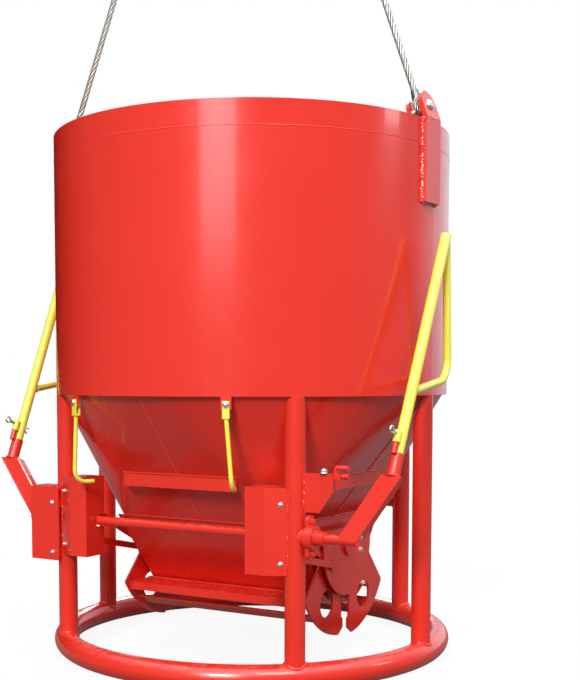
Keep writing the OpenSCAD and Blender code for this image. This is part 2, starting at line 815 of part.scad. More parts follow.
// Cover of the left bearing: front, roof and a short outer side above the lever arm
module outer_cover_left() {
    depth = cover_back_y - outer_front_y;
    width = outer_out_x - outer_in_x;
    roof_in = front_leg_x + leg_r + skin - outer_in_x;
    color(red) both_sides(true, false) translate([outer_in_x, outer_front_y, outer_z]) {
        cube([width, cover_t, outer_h]);
        translate([width - cover_t, 0, outer_h - outer_side_h]) cube([cover_t, depth, outer_side_h]);
        translate([roof_in, 0, outer_h - cover_t]) cube([width - roof_in, depth, cover_t]);
    }
}

// Flat bars on the front legs that the covers are bolted to, and their bolts
module cover_mount(x0, y, z, h) {
    translate([x0, y, z]) cube([mount_w, mount_t, h]);
}
module leg_posts() {
    for (side = [-1, 1]) translate([side * front_leg_x, shaft_y, 0])
        cylinder(d = leg_d + 2 * running, h = drum_base_z);
}
module cover_mounts() {
    inner_x = cover_leg_x - mount_w / 2;
    color(red) difference() {
        union() {
            for (side = [0, 1]) mirror([side, 0, 0])
                cover_mount(inner_x, cover_leg_y + cover_t, cover_z, cover_h - cover_t);
            for (z = [outer_z + cover_bolt_edge, outer_z + outer_h - 2 * cover_bolt_edge])
                mirror([1, 0, 0]) translate([front_leg_x, outer_front_y + cover_t, z - mount_w / 2])
                    cube([mount_w, shaft_y - outer_front_y - cover_t, mount_w]);
        }
        leg_posts();
    }
}
module dome_bolt(x, y, z, turn) {
    translate([x, y, z]) rotate([0, 0, turn]) rotate([90, 0, 0]) rotate_extrude($fn = 32) difference() {
        circle(cover_bolt_r);
        translate([-cover_bolt_r, -cover_bolt_r]) square([cover_bolt_r, 2 * cover_bolt_r]);
        translate([-cover_bolt_r, -cover_bolt_r]) square([2 * cover_bolt_r, cover_bolt_r]);
    }
}
module cover_bolts() {
    panel_a = atan2(cover_leg_y - cover_front_y, cover_leg_x - cover_corner_x);
    share = 0.72;
    x = cover_corner_x + share * (cover_leg_x - cover_corner_x);
    y = cover_front_y + share * (cover_leg_y - cover_front_y);
    outer_x = outer_in_x + cover_bolt_edge;
    color(zinc) {
        for (side = [0, 1], z = [cover_z + cover_bolt_low, cover_z + cover_h - cover_bolt_high])
            mirror([side, 0, 0]) dome_bolt(x, y, z, panel_a);
        for (z = [outer_z + cover_bolt_edge, outer_z + outer_h - 2 * cover_bolt_edge])
            mirror([1, 0, 0]) dome_bolt(outer_x, outer_front_y, z, 0);
    }
}

// Lock bracket on the right front leg, with the clamp that holds the lever
module lock_bracket() {
    color(red) difference() {
        plate_xz(shaft_y - bracket_t / 2, bracket_t) polygon([
            [front_leg_x, bracket_z],
            [front_leg_x + bracket_w - bracket_cut_w, bracket_z],
            [front_leg_x + bracket_w, bracket_z + bracket_cut_h],
            [front_leg_x + bracket_w, bracket_z + bracket_h],
            [front_leg_x, bracket_z + bracket_h]]);
        leg_posts();
    }
}
module lock_clamp() {
    x = front_leg_x + bracket_w - clamp_l / 2;
    y = shaft_y + bracket_t / 2;
    z = bracket_z + bracket_h - clamp_r;
    color(red) {
        translate([x, y, z - clamp_r]) cube([clamp_l, bracket_t, 2 * clamp_r]);
        x_bar(clamp_r, x + clamp_l / 2, x + clamp_l * 3 / 2, y + bracket_t + clamp_r, z);
        x_bar(clamp_r, x + clamp_l / 2, x + clamp_l * 3 / 2, y + bracket_t + clamp_r, z + 3 * clamp_r);
        translate([x + clamp_l / 2, y, z]) cube([bracket_t, bracket_t + clamp_r, 3 * clamp_r]);
    }
    color(zinc) translate([x - clamp_bolt_r, y - bracket_t, z + clamp_r]) cylinder(r = clamp_bolt_r, h = clamp_r);
}

// Tabs under the drum's edge, their bolts, and the two hooks that swing on them
module hook_tabs() {
    color(red) for (side = [-1, 1]) at_angle(side * hook_a, drum_r - drum_wall / 2, drum_base_z - tab_h)
        translate([-tab_w / 2, -tab_t / 2, 0]) cube([tab_w, tab_t, tab_h]);
}
hook_bolt_z = drum_base_z - hook_bolt_drop;
module hook_pin(r, y0, y1) {
    translate([0, y0, 0]) rotate([-90, 0, 0]) cylinder(r = r, h = y1 - y0);
}
module hook_bolts() {
    reach = tab_t / 2 + seat + fork_t + seat;
    color(zinc) for (side = [-1, 1]) at_angle(side * hook_a, drum_r - drum_wall / 2, hook_bolt_z) {
        hook_pin(hook_bolt_r, -reach, -tab_t / 2);
        hook_pin(hook_bolt_r, tab_t / 2, reach);
        hook_pin(hook_head_r, -reach - hook_head_t, -reach);
        hook_pin(hook_head_r, reach, reach + hook_nut_t, $fn = 6);
    }
}
module hook(a) {
    gap = tab_t / 2 + seat;
    bend_z = hook_bend_r - hook_l;
    yoke_z = -fork_l;
    color(yellow) at_angle(a, drum_r - drum_wall / 2, hook_bolt_z) {
        difference() {
            union() {
                for (y = [-gap - fork_t, gap])
                    translate([-fork_w / 2, y, yoke_z]) cube([fork_w, fork_t, fork_l + fork_w / 2]);
                translate([-fork_w / 2, -gap - fork_t, yoke_z - fork_t])
                    cube([fork_w, 2 * (gap + fork_t), fork_t]);
            }
            hook_pin(hook_bolt_r + running, -drum_wall * fork_t, drum_wall * fork_t);
        }
        translate([0, 0, yoke_z]) rotate([0, -sign(a) * hook_splay, 0]) translate([0, 0, -yoke_z]) {
            translate([0, 0, bend_z]) cylinder(d = hook_d, h = yoke_z - fork_t / 2 - bend_z);
            translate([0, hook_bend_r, bend_z]) rotate([0, -90, 0]) rotate([0, 0, 180])
                rotate_extrude(angle = 90) translate([hook_bend_r, 0]) circle(d = hook_d);
            translate([0, hook_bend_r, -hook_l]) rotate([-90, 0, 0]) cylinder(d = hook_d, h = foot_l - hook_bend_r);
        }
    }
}
module hook_left() { hook(-hook_a); }
module hook_right() { hook(hook_a); }

// Lugs: an outer plate down the drum's wall and an inner plate, both leaning in above the rim
module lug_bend(a) {
    rotate([0, 0, a]) translate([0, -lug_out_r, lug_bend_z]) rotate([-lug_lean, 0, 0]) children();
}
module lug_eye(r, y0, y1) {
    translate([0, y0, lug_eye_h]) rotate([-90, 0, 0]) cylinder(r = r, h = y1 - y0);
}
module lug_outer(a) {
    low_z = rim_z - lug_l;
    color(red) difference() {
        union() {
            rotate([0, 0, a]) translate([-lug_w / 2, -lug_out_r, low_z]) cube([lug_w, lug_t, lug_bend_z - low_z]);
            lug_bend(a) {
                translate([-lug_w / 2, 0, 0]) cube([lug_w, lug_t, lug_eye_h]);
                lug_eye(lug_w / 2, 0, lug_t);
            }
        }
        lug_bend(a) lug_eye(lug_bolt_d / 2, -cut, lug_t + cut);
    }
}
module lug_inner(a) {
    out_y = lug_t + lug_gap;
    color(red) difference() {
        intersection() {
            lug_bend(a) {
                translate([-lug_in_w / 2, out_y, -lug_in_drop]) cube([lug_in_w, lug_in_t, lug_in_drop + lug_eye_h]);
                lug_eye(lug_in_w / 2, out_y, out_y + lug_in_t);
            }
            cylinder(r = drum_in_r, h = 2 * rim_z, $fn = 128);
        }
        lug_bend(a) lug_eye(lug_bolt_d / 2, out_y - cut, out_y + lug_in_t + cut);
    }
}
module lug_outer_left() { lug_outer(lug_left_a); }
module lug_outer_right() { lug_outer(lug_right_a); }
module lug_inner_left() { lug_inner(lug_left_a); }
module lug_inner_right() { lug_inner(lug_right_a); }
module lug_bolts() {
    in_y = lug_t + lug_gap + lug_in_t;
    color(zinc) for (a = [lug_left_a, lug_right_a]) lug_bend(a) {
        lug_eye(lug_bolt_d / 2, 0, in_y + lug_bolt_over);
        lug_eye(lug_bolt_head_r, -lug_bolt_head_t, 0);
        lug_eye(lug_bolt_head_r, in_y, in_y + lug_bolt_head_t, $fn = 6);
    }
}

// Sling ropes: each leaves an eye on its lug's bolt and runs taut towards a point above the drum
function eye_point(a) = [eye_r * sin(a), -eye_r * cos(a), eye_z];
function sling_dir(a) = let (d = [-sling_lean, 0, sling_top_z] - eye_point(a)) d / norm(d);
function sling_point(a, s) = eye_point(a) + s * sling_dir(a);
rope_s0 = ferrule_s + ferrule_l;
module rope_tube(a) {
    tilt = sling_dir(a);
    u = cross(tilt, [0, 1, 0]) / norm(cross(tilt, [0, 1, 0]));
    v = cross(tilt, u);
    points = [for (i = [0 : rope_rings], k = [0 : rope_sides - 1])
        sling_point(a, rope_s0 + rope_l * i / rope_rings)
            + rope_d / 2 * (u * cos(360 * k / rope_sides) + v * sin(360 * k / rope_sides))];
    walls = [for (i = [0 : rope_rings - 1], k = [0 : rope_sides - 1])
        let (n = (k + 1) % rope_sides)
        [i * rope_sides + k, i * rope_sides + n, (i + 1) * rope_sides + n, (i + 1) * rope_sides + k]];
    first = [for (k = [rope_sides - 1 : -1 : 0]) k];
    last = [for (k = [0 : rope_sides - 1]) rope_rings * rope_sides + k];
    color(rope_grey) polyhedron(points, concat(walls, [first], [last]), convexity = 2);
}
module sling_left() { rope_tube(lug_left_a); }
module sling_right() { rope_tube(lug_right_a); }
module sling_eye(a, s, lean) {
    translate(sling_point(a, s)) rotate([0, 0, a]) rotate([-90 - lean, 0, 0])
        rotate_extrude($fn = 32) translate([eye_ring_r, 0]) circle(eye_tube_r, $fn = 24);
}
module sling_fittings() {
    top_s = rope_s0 + rope_l;
    color(zinc) for (a = [lug_left_a, lug_right_a]) {
        sling_eye(a, 0, lug_lean);
        rod(sling_point(a, eye_ring_r), sling_point(a, ferrule_s + cut), rope_d / 2 - eye_step);
        rod(sling_point(a, ferrule_s), sling_point(a, rope_s0), ferrule_d / 2);
        rod(sling_point(a, top_s), sling_point(a, top_s + ferrule_l), ferrule_d / 2);
        sling_eye(a, top_s + ferrule_l + eye_ring_r, acos(sling_dir(a).z));
    }
}

base_ring();
leg_front_left();
leg_front_right();
leg_side_left();
leg_side_right();
leg_rear_left();
leg_rear_right();
drum_shell();
rim_band();
hopper();
hopper_stiffeners();
chute_front_plate();
chute_rear_plate();
chute_side_left();
chute_side_right();
rear_tie_bar();
shaft_bush_left();
shaft_bush_right();
bearing_flange_left();
bearing_flange_right();
crank_cover_left();
crank_cover_right();
outer_cover_left();
cover_mounts();
cover_bolts();
lock_bracket();
lock_clamp();
hook_tabs();
hook_bolts();
hook_left();
hook_right();
lug_outer_left();
lug_outer_right();
lug_inner_left();
lug_inner_right();
lug_bolts();
gate_axles();
cross_shaft();
crank_left();
crank_right();
lever_arm_left();
lever_arm_right();
lever_stub_left();
lever_stub_right();
handle_left();
handle_right();
linchpins();
gate_front_shell();
gate_front_plate_left();
gate_front_plate_right();
gate_front_tie();
gate_rear_shell();
gate_rear_plate_left();
gate_rear_plate_right();
gate_rear_tie();
front_links();
rear_links();
sling_left();
sling_right();
sling_fittings();
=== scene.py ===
# Looks of the concrete bucket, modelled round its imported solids, in metres
import json
import math

import bpy
from mathutils import Matrix, Vector


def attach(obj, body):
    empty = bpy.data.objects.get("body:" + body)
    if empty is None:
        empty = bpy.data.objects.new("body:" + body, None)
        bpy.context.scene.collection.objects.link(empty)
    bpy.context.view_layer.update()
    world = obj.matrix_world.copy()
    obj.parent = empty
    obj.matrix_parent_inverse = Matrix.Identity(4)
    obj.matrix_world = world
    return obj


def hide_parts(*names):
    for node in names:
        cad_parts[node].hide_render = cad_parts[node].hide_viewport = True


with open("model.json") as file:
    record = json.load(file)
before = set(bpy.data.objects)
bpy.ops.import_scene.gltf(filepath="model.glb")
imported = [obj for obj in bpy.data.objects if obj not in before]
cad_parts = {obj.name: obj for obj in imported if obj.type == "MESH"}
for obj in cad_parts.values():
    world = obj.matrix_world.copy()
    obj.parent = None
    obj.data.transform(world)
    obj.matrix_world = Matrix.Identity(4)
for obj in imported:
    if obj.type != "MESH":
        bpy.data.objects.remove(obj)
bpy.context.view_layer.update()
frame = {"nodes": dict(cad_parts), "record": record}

FULL_TURN = 2 * math.pi
QUARTER_TURN = math.pi / 2

# Sizes repeated from the part's source
DRUM_R = 0.750
DRUM_WALL = 0.005
DRUM_BASE_Z = 0.980
RIM_Z = 1.935
RIM_BAND_H = 0.085
NECK_HALF = 0.355
NECK_Z = 0.520
HOPPER_TOP_Z = 0.9975
STIFFENER_Z = 0.648
STIFFENER_H = 0.040
STIFFENER_HALF = 0.242
STIFFENER_T = 0.008
CHUTE_LOW_Z = 0.240
RING_R = 0.724
RING_TUBE_R = 0.04445
RING_Z = 0.04345
LEG_R = 0.035
LEG_CIRCLE_R = 0.719
LEG_ANGLES = (-43, 43, -90, 90, -150, 150)
FRONT_LEG_X = 0.490357
SHAFT_Y = -0.525843
SHAFT_Z = 0.516
BUSH_R = 0.025
TIE_R = 0.019
GATE_Z = 0.420
GATE_HUB_R = 0.045
ARM_X = 0.690
HANDLE_R = 0.0185
STUB_FOOT_R = 0.022
BOW_R = 0.014
HANDLE_OUT = math.radians(1.5)
HANDLE_BACK = math.radians(24.65)
ARM_OUT = math.radians(30.3)
ARM_BACK = math.radians(15)
ARM_L = 0.250
ARM_W = 0.062
ARM_DEPTH = 0.034
ARM_LEFT_IN = 0.076
SLEEVE_Y = 0.0305
SLEEVE_R = 0.013
LINCH_S = 0.133
LINCH_HEAD = 0.048
LINCH_TAIL = 0.022
COVER_Z = 0.388
COVER_H = 0.292
COVER_T = 0.004
COVER_CORNER_X = 0.415
COVER_OUT = 0.074
COVER_LEG_IN = 0.010
COVER_CORNER = Vector((COVER_CORNER_X, SHAFT_Y - COVER_OUT, 0))
COVER_LEG = Vector((FRONT_LEG_X - COVER_LEG_IN, SHAFT_Y - LEG_R - COVER_T, 0))
COVER_BOLT_SHARE = 0.72
COVER_BOLT_LOW = 0.038
COVER_BOLT_HIGH = 0.056
COVER_BOLT_ZS = (COVER_Z + COVER_BOLT_LOW, COVER_Z + COVER_H - COVER_BOLT_HIGH)
OUTER_BOLT_EDGE = 0.025
OUTER_OUT = 0.058
OUTER_BOLT_X = FRONT_LEG_X + OUTER_BOLT_EDGE
OUTER_FRONT_Y = SHAFT_Y - OUTER_OUT
OUTER_BOLT_ZS = (0.392, 0.578)
COVER_BOLT_R = 0.009
BRACKET_T = 0.008
BRACKET_Z = 0.600
BRACKET_H = 0.130
LUG_ANGLES = {"left": math.radians(-68), "right": math.radians(87)}
LUG_W = 0.108
LUG_T = 0.016
LUG_L = 0.287
LUG_LEAN = math.radians(20)
LUG_EYE_H = 0.048
LUG_GAP = 0.044
LUG_IN_T = 0.012
LUG_CLEAR = 0.0003
LUG_BEND_UP = 0.006
LUG_OUT_R = DRUM_R + LUG_CLEAR + LUG_T
LUG_BEND_Z = RIM_Z + LUG_BEND_UP
LUG_BOLT_R = 0.014
LUG_HEAD_R = 0.021
LUG_HEAD_T = 0.013
LUG_BOLT_OVER = 0.016
HOOK_ANGLE = math.radians(25)
HOOK_BOLT_Z = 0.954
ROPE_R = 0.011
FERRULE_L = 0.036
FERRULE_S = 0.040
ROPE_L = 0.500
EYE_RING_R = 0.026
SLING_MEET = Vector((-0.040, 0, 4.050))

# Camera of the photograph
CAMERA_PLACE = (2.342, -3.837, 1.041)
CAMERA_PITCH = math.radians(85.8)
CAMERA_AZIMUTH = math.radians(31.4)
CAMERA_LENS = 60.89
CAMERA_SHIFT = (0.0565, 0.180)


def object_mode():
    if bpy.context.object and bpy.context.object.mode != "OBJECT":
        bpy.ops.object.mode_set(mode="OBJECT")


def deselect():
    object_mode()
    bpy.ops.object.select_all(action="DESELECT")


def pick(obj):
    deselect()
    obj.select_set(True)
    bpy.context.view_layer.objects.active = obj


def set_camera():
    deselect()
    bpy.ops.object.camera_add(location=CAMERA_PLACE, rotation=(CAMERA_PITCH, 0, CAMERA_AZIMUTH))
    cam = bpy.context.object
    cam.data.lens = CAMERA_LENS
    cam.data.shift_x, cam.data.shift_y = CAMERA_SHIFT
    bpy.context.scene.camera = cam


set_camera()


# Shader helpers
def add_node(tree, kind, inputs=None, **settings):
    node = tree.nodes.new(kind)
    for name, value in settings.items():
        setattr(node, name, value)
    for name, value in (inputs or {}).items():
        node.inputs[name].default_value = value
    return node


def new_group(name, inputs, outputs):
    tree = bpy.data.node_groups.new(name, "ShaderNodeTree")
    for label, kind, value in inputs:
        socket = tree.interface.new_socket(label, in_out="INPUT", socket_type="NodeSocket" + kind)
        socket.default_value = value
    for label, kind in outputs:
        tree.interface.new_socket(label, in_out="OUTPUT", socket_type="NodeSocket" + kind)
    start = tree.nodes.new("NodeGroupInput")
    end = tree.nodes.new("NodeGroupOutput")
    return tree, start, end


def noise_on(tree, place, scale, detail):
    noise = add_node(tree, "ShaderNodeTexNoise", {"Detail": detail})
    tree.links.new(place, noise.inputs["Vector"])
    if isinstance(scale, float):
        noise.inputs["Scale"].default_value = scale
    else:
        tree.links.new(scale, noise.inputs["Scale"])
    return noise.outputs["Fac"]


def ramp_on(tree, value, low, high, to_low=0.0, to_high=1.0):
    ramp = add_node(tree, "ShaderNodeMapRange", {"From Min": low, "From Max": high, "To Min": to_low,
                                                 "To Max": to_high})
    tree.links.new(value, ramp.inputs["Value"])
    return ramp.outputs["Result"]


def math_on(tree, operation, a, b):
    node = add_node(tree, "ShaderNodeMath", operation=operation)
    for k, value in enumerate((a, b)):
        if isinstance(value, float):
            node.inputs[k].default_value = value
        else:
            tree.links.new(value, node.inputs[k])
    return node.outputs[0]


# Sockets of a Mix node that hold its two colours and the mixed one
MIX_A = 6
MIX_B = 7
MIX_OUT = 2


def mix_on(tree, share, a, b):
    node = add_node(tree, "ShaderNodeMix", data_type="RGBA")
    tree.links.new(share, node.inputs["Factor"])
    for k, value in ((MIX_A, a), (MIX_B, b)):
        if isinstance(value, tuple):
            node.inputs[k].default_value = value
        else:
            tree.links.new(value, node.inputs[k])
    return node.outputs[MIX_OUT]


# Roughness that runs between a group's two gloss inputs
def gloss_on(tree, start, value):
    gloss = add_node(tree, "ShaderNodeMapRange")
    tree.links.new(value, gloss.inputs["Value"])
    tree.links.new(start.outputs["Gloss Low"], gloss.inputs["To Min"])
    tree.links.new(start.outputs["Gloss High"], gloss.inputs["To Max"])
    return gloss.outputs["Result"]


SKIN_OUTPUTS = [("Color", "Color"), ("Roughness", "Float"), ("Height", "Float")]
DRIFT_DETAIL = 3.0
DRIFT_RANGE = (0.15, 0.85)
UPWARD_RANGE = (0.45, 0.95)
SPECK_SCALE = 34.0
SPECK_DETAIL = 6.0
SPECK_RANGE = (0.45, 0.75)
SMEAR_SCALE = 9.0
SMEAR_DETAIL = 4.0
SMEAR_RANGE = (0.1, 0.9)
PEEL_DETAIL = 2.0


# Sprayed paint: slow tone drift, orange peel, and a pale dust colour mixed into what faces up, which is
# faint road dust and also a painted sheen of the sky on upper faces
def paint_group():
    tree, start, end = new_group(
        "sprayed_paint",
        [("Paint", "Color", (0.6, 0.02, 0.015, 1)), ("Deep Paint", "Color", (0.45, 0.012, 0.01, 1)),
         ("Dust", "Color", (0.62, 0.5, 0.42, 1)), ("Dust Amount", "Float", 0.1),
         ("Drift Scale", "Float", 2.5), ("Peel Scale", "Float", 160.0),
         ("Gloss Low", "Float", 0.2), ("Gloss High", "Float", 0.34)],
        SKIN_OUTPUTS)
    place = add_node(tree, "ShaderNodeTexCoord").outputs["Object"]
    drift = ramp_on(tree, noise_on(tree, place, start.outputs["Drift Scale"], DRIFT_DETAIL), *DRIFT_RANGE)
    tone = mix_on(tree, drift, start.outputs["Paint"], start.outputs["Deep Paint"])
    normal = add_node(tree, "ShaderNodeNewGeometry").outputs["Normal"]
    parts = add_node(tree, "ShaderNodeSeparateXYZ")
    tree.links.new(normal, parts.inputs[0])
    upward = ramp_on(tree, parts.outputs["Z"], *UPWARD_RANGE)
    specks = ramp_on(tree, noise_on(tree, place, SPECK_SCALE, SPECK_DETAIL), *SPECK_RANGE)
    upward_specks = math_on(tree, "MULTIPLY", upward, specks)
    # Paler on upward faces: real dust, and a painted sky sheen
    dust_and_sheen = math_on(tree, "MULTIPLY", upward_specks, start.outputs["Dust Amount"])
    tree.links.new(mix_on(tree, dust_and_sheen, tone, start.outputs["Dust"]), end.inputs["Color"])
    smear = ramp_on(tree, noise_on(tree, place, SMEAR_SCALE, SMEAR_DETAIL), *SMEAR_RANGE)
    dull = math_on(tree, "ADD", gloss_on(tree, start, smear), dust_and_sheen)
    tree.links.new(dull, end.inputs["Roughness"])
    tree.links.new(noise_on(tree, place, start.outputs["Peel Scale"], PEEL_DETAIL), end.inputs["Height"])
    return tree


WELD_DETAIL = 4.0
WELD_GRAIN_RANGE = (0.3, 0.7)
WELD_ROUGHNESS = (0.24, 0.42)


# Weld texture: ripples broken up by noise, pale spatter that caught the paint badly
def weld_group():
    tree, start, end = new_group(
        "weld_skin",
        [("Paint", "Color", (0.6, 0.02, 0.015, 1)), ("Spatter", "Color", (0.85, 0.8, 0.76, 1)),
         ("Spatter Low", "Float", 0.62), ("Spatter High", "Float", 0.7), ("Ripple Scale", "Float", 120.0)],
        SKIN_OUTPUTS)
    place = add_node(tree, "ShaderNodeTexCoord").outputs["Object"]
    grain = noise_on(tree, place, start.outputs["Ripple Scale"], WELD_DETAIL)
    share = add_node(tree, "ShaderNodeMapRange")
    tree.links.new(grain, share.inputs["Value"])
    tree.links.new(start.outputs["Spatter Low"], share.inputs["From Min"])
    tree.links.new(start.outputs["Spatter High"], share.inputs["From Max"])
    spotted = mix_on(tree, share.outputs["Result"], start.outputs["Paint"], start.outputs["Spatter"])
    tree.links.new(spotted, end.inputs["Color"])
    tree.links.new(ramp_on(tree, grain, *WELD_GRAIN_RANGE, *WELD_ROUGHNESS), end.inputs["Roughness"])
    tree.links.new(grain, end.inputs["Height"])
    return tree


BLOOM_SCALE = 60.0
BLOOM_DETAIL = 5.0
BLOOM_RANGE = (0.3, 0.7)


# Zinc: crystal patches in two greys, with a dull bloom
def zinc_group():
    tree, start, end = new_group(
        "zinc_skin",
        [("Bright", "Color", (0.78, 0.79, 0.8, 1)), ("Dull", "Color", (0.52, 0.53, 0.55, 1)),
         ("Crystal Scale", "Float", 220.0), ("Gloss Low", "Float", 0.22), ("Gloss High", "Float", 0.45)],
        SKIN_OUTPUTS)
    place = add_node(tree, "ShaderNodeTexCoord").outputs["Object"]
    cells = add_node(tree, "ShaderNodeTexVoronoi")
    tree.links.new(place, cells.inputs["Vector"])
    tree.links.new(start.outputs["Crystal Scale"], cells.inputs["Scale"])
    parts = add_node(tree, "ShaderNodeSeparateColor")
    tree.links.new(cells.outputs["Color"], parts.inputs[0])
    bloom = noise_on(tree, place, BLOOM_SCALE, BLOOM_DETAIL)
    share = math_on(tree, "MULTIPLY", parts.outputs[0], ramp_on(tree, bloom, *BLOOM_RANGE))
    tree.links.new(mix_on(tree, share, start.outputs["Bright"], start.outputs["Dull"]), end.inputs["Color"])
    tree.links.new(gloss_on(tree, start, bloom), end.inputs["Roughness"])
    tree.links.new(bloom, end.inputs["Height"])
    return tree


WAVE_RANGE = (-1.0, 1.0)
RIDGE_TONE = (0.6, 1.0)
MID_STRAND = 0.5
CROWN_RANGE = (0.06, 0.3)
GREASE_SCALE = 45.0
GREASE_DETAIL = 4.0
GREASE_RANGE = (0.2, 0.6)
GREASE_TONE = (0.6, 1.0)
ROPE_ROUGHNESS = (0.55, 0.34)


# Wire rope: fine wires laid along each strand, with grease in the grooves
def rope_group():
    tree, start, end = new_group(
        "rope_wires",
        [("Wire", "Color", (0.66, 0.65, 0.58, 1)), ("Grease", "Color", (0.06, 0.058, 0.05, 1)),
         ("Wires Around", "Float", 9.0), ("Lay", "Float", 90.0)],
        SKIN_OUTPUTS)
    coords = add_node(tree, "ShaderNodeTexCoord")
    parts = add_node(tree, "ShaderNodeSeparateXYZ")
    tree.links.new(coords.outputs["UV"], parts.inputs[0])
    turned = math_on(tree, "MULTIPLY", parts.outputs["X"], start.outputs["Wires Around"])
    along = math_on(tree, "MULTIPLY", parts.outputs["Y"], start.outputs["Lay"])
    phase = math_on(tree, "ADD", turned, along)
    wave = math_on(tree, "SINE", math_on(tree, "MULTIPLY", phase, FULL_TURN), 0.0)
    ridge = ramp_on(tree, wave, *WAVE_RANGE, *RIDGE_TONE)
    across = math_on(tree, "FRACT", parts.outputs["X"], 0.0)
    off_groove = math_on(tree, "ABSOLUTE", math_on(tree, "SUBTRACT", across, MID_STRAND), 0.0)
    crown = ramp_on(tree, off_groove, *CROWN_RANGE)
    blotches = noise_on(tree, coords.outputs["Object"], GREASE_SCALE, GREASE_DETAIL)
    smear = ramp_on(tree, blotches, *GREASE_RANGE, *GREASE_TONE)
    bright = math_on(tree, "MULTIPLY", crown, math_on(tree, "MULTIPLY", ridge, smear))
    tree.links.new(mix_on(tree, bright, start.outputs["Grease"], start.outputs["Wire"]), end.inputs["Color"])
    tree.links.new(ramp_on(tree, smear, 0.0, 1.0, *ROPE_ROUGHNESS), end.inputs["Roughness"])
    tree.links.new(ridge, end.inputs["Height"])
    return tree


GROUPS = {"paint": paint_group(), "weld": weld_group(), "zinc": zinc_group(), "rope": rope_group()}


def finish_material(name, group, values, bump, depth, **shader):
    made = bpy.data.materials.new(name)
    made.use_nodes = True
    tree = made.node_tree
    skin = tree.nodes["Principled BSDF"]
    for label, value in shader.items():
        skin.inputs[label.replace("_", " ")].default_value = value
    source = add_node(tree, "ShaderNodeGroup", node_tree=GROUPS[group])
    for label, value in values.items():
        source.inputs[label].default_value = value
    relief = add_node(tree, "ShaderNodeBump", {"Strength": bump, "Distance": depth})
    tree.links.new(source.outputs["Color"], skin.inputs["Base Color"])
    tree.links.new(source.outputs["Roughness"], skin.inputs["Roughness"])
    tree.links.new(source.outputs["Height"], relief.inputs["Height"])
    tree.links.new(relief.outputs["Normal"], skin.inputs["Normal"])
    return made


RED = (0.80, 0.032, 0.016, 1)
RED_DEEP = (0.75, 0.026, 0.013, 1)
RED_SEAM_HIGHLIGHT = (0.95, 0.06, 0.035, 1)
YELLOW = (0.90, 0.89, 0.12, 1)
YELLOW_DEEP = (0.87, 0.82, 0.07, 1)
FERRULE_BRIGHT = (0.2, 0.205, 0.21, 1)
FERRULE_DULL = (0.1, 0.1, 0.105, 1)
# The red takes more of the pale upward colour: a painted sky sheen on the ring and other tops, besides dust
red_paint = finish_material(
    "red_paint", "paint", {"Paint": RED, "Deep Paint": RED_DEEP, "Dust Amount": 0.16},
    bump=0.05, depth=0.0004, Coat_Weight=0.5, Coat_Roughness=0.08, Specular_IOR_Level=0.45)
yellow_paint = finish_material(
    "yellow_paint", "paint", {"Paint": YELLOW, "Deep Paint": YELLOW_DEEP, "Dust Amount": 0.06,
                              "Drift Scale": 7.0, "Gloss Low": 0.18, "Gloss High": 0.3},
    bump=0.05, depth=0.0004, Coat_Weight=0.5, Coat_Roughness=0.09, Specular_IOR_Level=0.4)
red_weld = finish_material(
    "red_weld", "weld", {"Paint": RED_DEEP, "Spatter Low": 0.7, "Spatter High": 0.8},
    bump=0.35, depth=0.001, Coat_Weight=0.4, Coat_Roughness=0.1)
lug_weld = finish_material(
    "lug_weld", "weld", {"Paint": RED, "Spatter Low": 0.55, "Spatter High": 0.62, "Ripple Scale": 190.0},
    bump=0.5, depth=0.0015, Coat_Weight=0.4, Coat_Roughness=0.12)
cover_weld = finish_material(
    "cover_weld", "weld", {"Paint": RED, "Spatter Low": 0.61, "Spatter High": 0.67, "Ripple Scale": 130.0},
    bump=0.4, depth=0.001, Coat_Weight=0.4, Coat_Roughness=0.12)
# Lighter red for the hopper seams: a painted highlight, as if each seam caught the light
seam_highlight_weld = finish_material(
    "seam_highlight_weld", "weld", {"Paint": RED_SEAM_HIGHLIGHT, "Spatter Low": 0.68, "Spatter High": 0.78},
    bump=0.3, depth=0.0008, Coat_Weight=0.4, Coat_Roughness=0.1)
# Mostly pale: a painted highlight along the left arm's inner front edge, together with some worn paint
worn_highlight_seam = finish_material(
    "worn_highlight_seam", "weld", {"Paint": RED, "Spatter Low": 0.34, "Spatter High": 0.5, "Ripple Scale": 60.0},
    bump=0.2, depth=0.0006, Coat_Weight=0.4, Coat_Roughness=0.1)
yellow_weld = finish_material(
    "yellow_weld", "weld", {"Paint": YELLOW_DEEP, "Spatter": YELLOW},
    bump=0.3, depth=0.001, Coat_Weight=0.3, Coat_Roughness=0.12)
zinc = finish_material("zinc_plate", "zinc", {}, bump=0.1, depth=0.0004, Metallic=1.0)
ferrule_metal = finish_material(
    "ferrule_metal", "zinc", {"Bright": FERRULE_BRIGHT, "Dull": FERRULE_DULL, "Crystal Scale": 90.0,
                              "Gloss Low": 0.35, "Gloss High": 0.55},
    bump=0.2, depth=0.0006, Metallic=1.0)
rope_wire = finish_material("rope_wire", "rope", {}, bump=0.6, depth=0.0008, Metallic=0.85)
SLOT_FINISH = {"red_paint": red_paint, "yellow_paint": yellow_paint, "zinc": zinc, "wire_rope": rope_wire}


def coat(obj, material):
    obj.data.materials.clear()
    obj.data.materials.append(material)


def paint_nodes():
    for part in frame["record"]["subparts"]:
        coat(frame["nodes"][part["node"]], SLOT_FINISH[part["material_slot"]])


paint_nodes()


# Modelling helpers: turned shapes, bars bent along a line, placing and joining
def edit(obj):
    pick(obj)
    bpy.ops.object.mode_set(mode="EDIT")
    bpy.ops.mesh.select_all(action="SELECT")


MERGE_DISTANCE = 1e-6


def clean(obj):
    edit(obj)
    bpy.ops.mesh.remove_doubles(threshold=MERGE_DISTANCE)
    bpy.ops.mesh.select_all(action="SELECT")
    bpy.ops.mesh.normals_make_consistent(inside=False)
    object_mode()


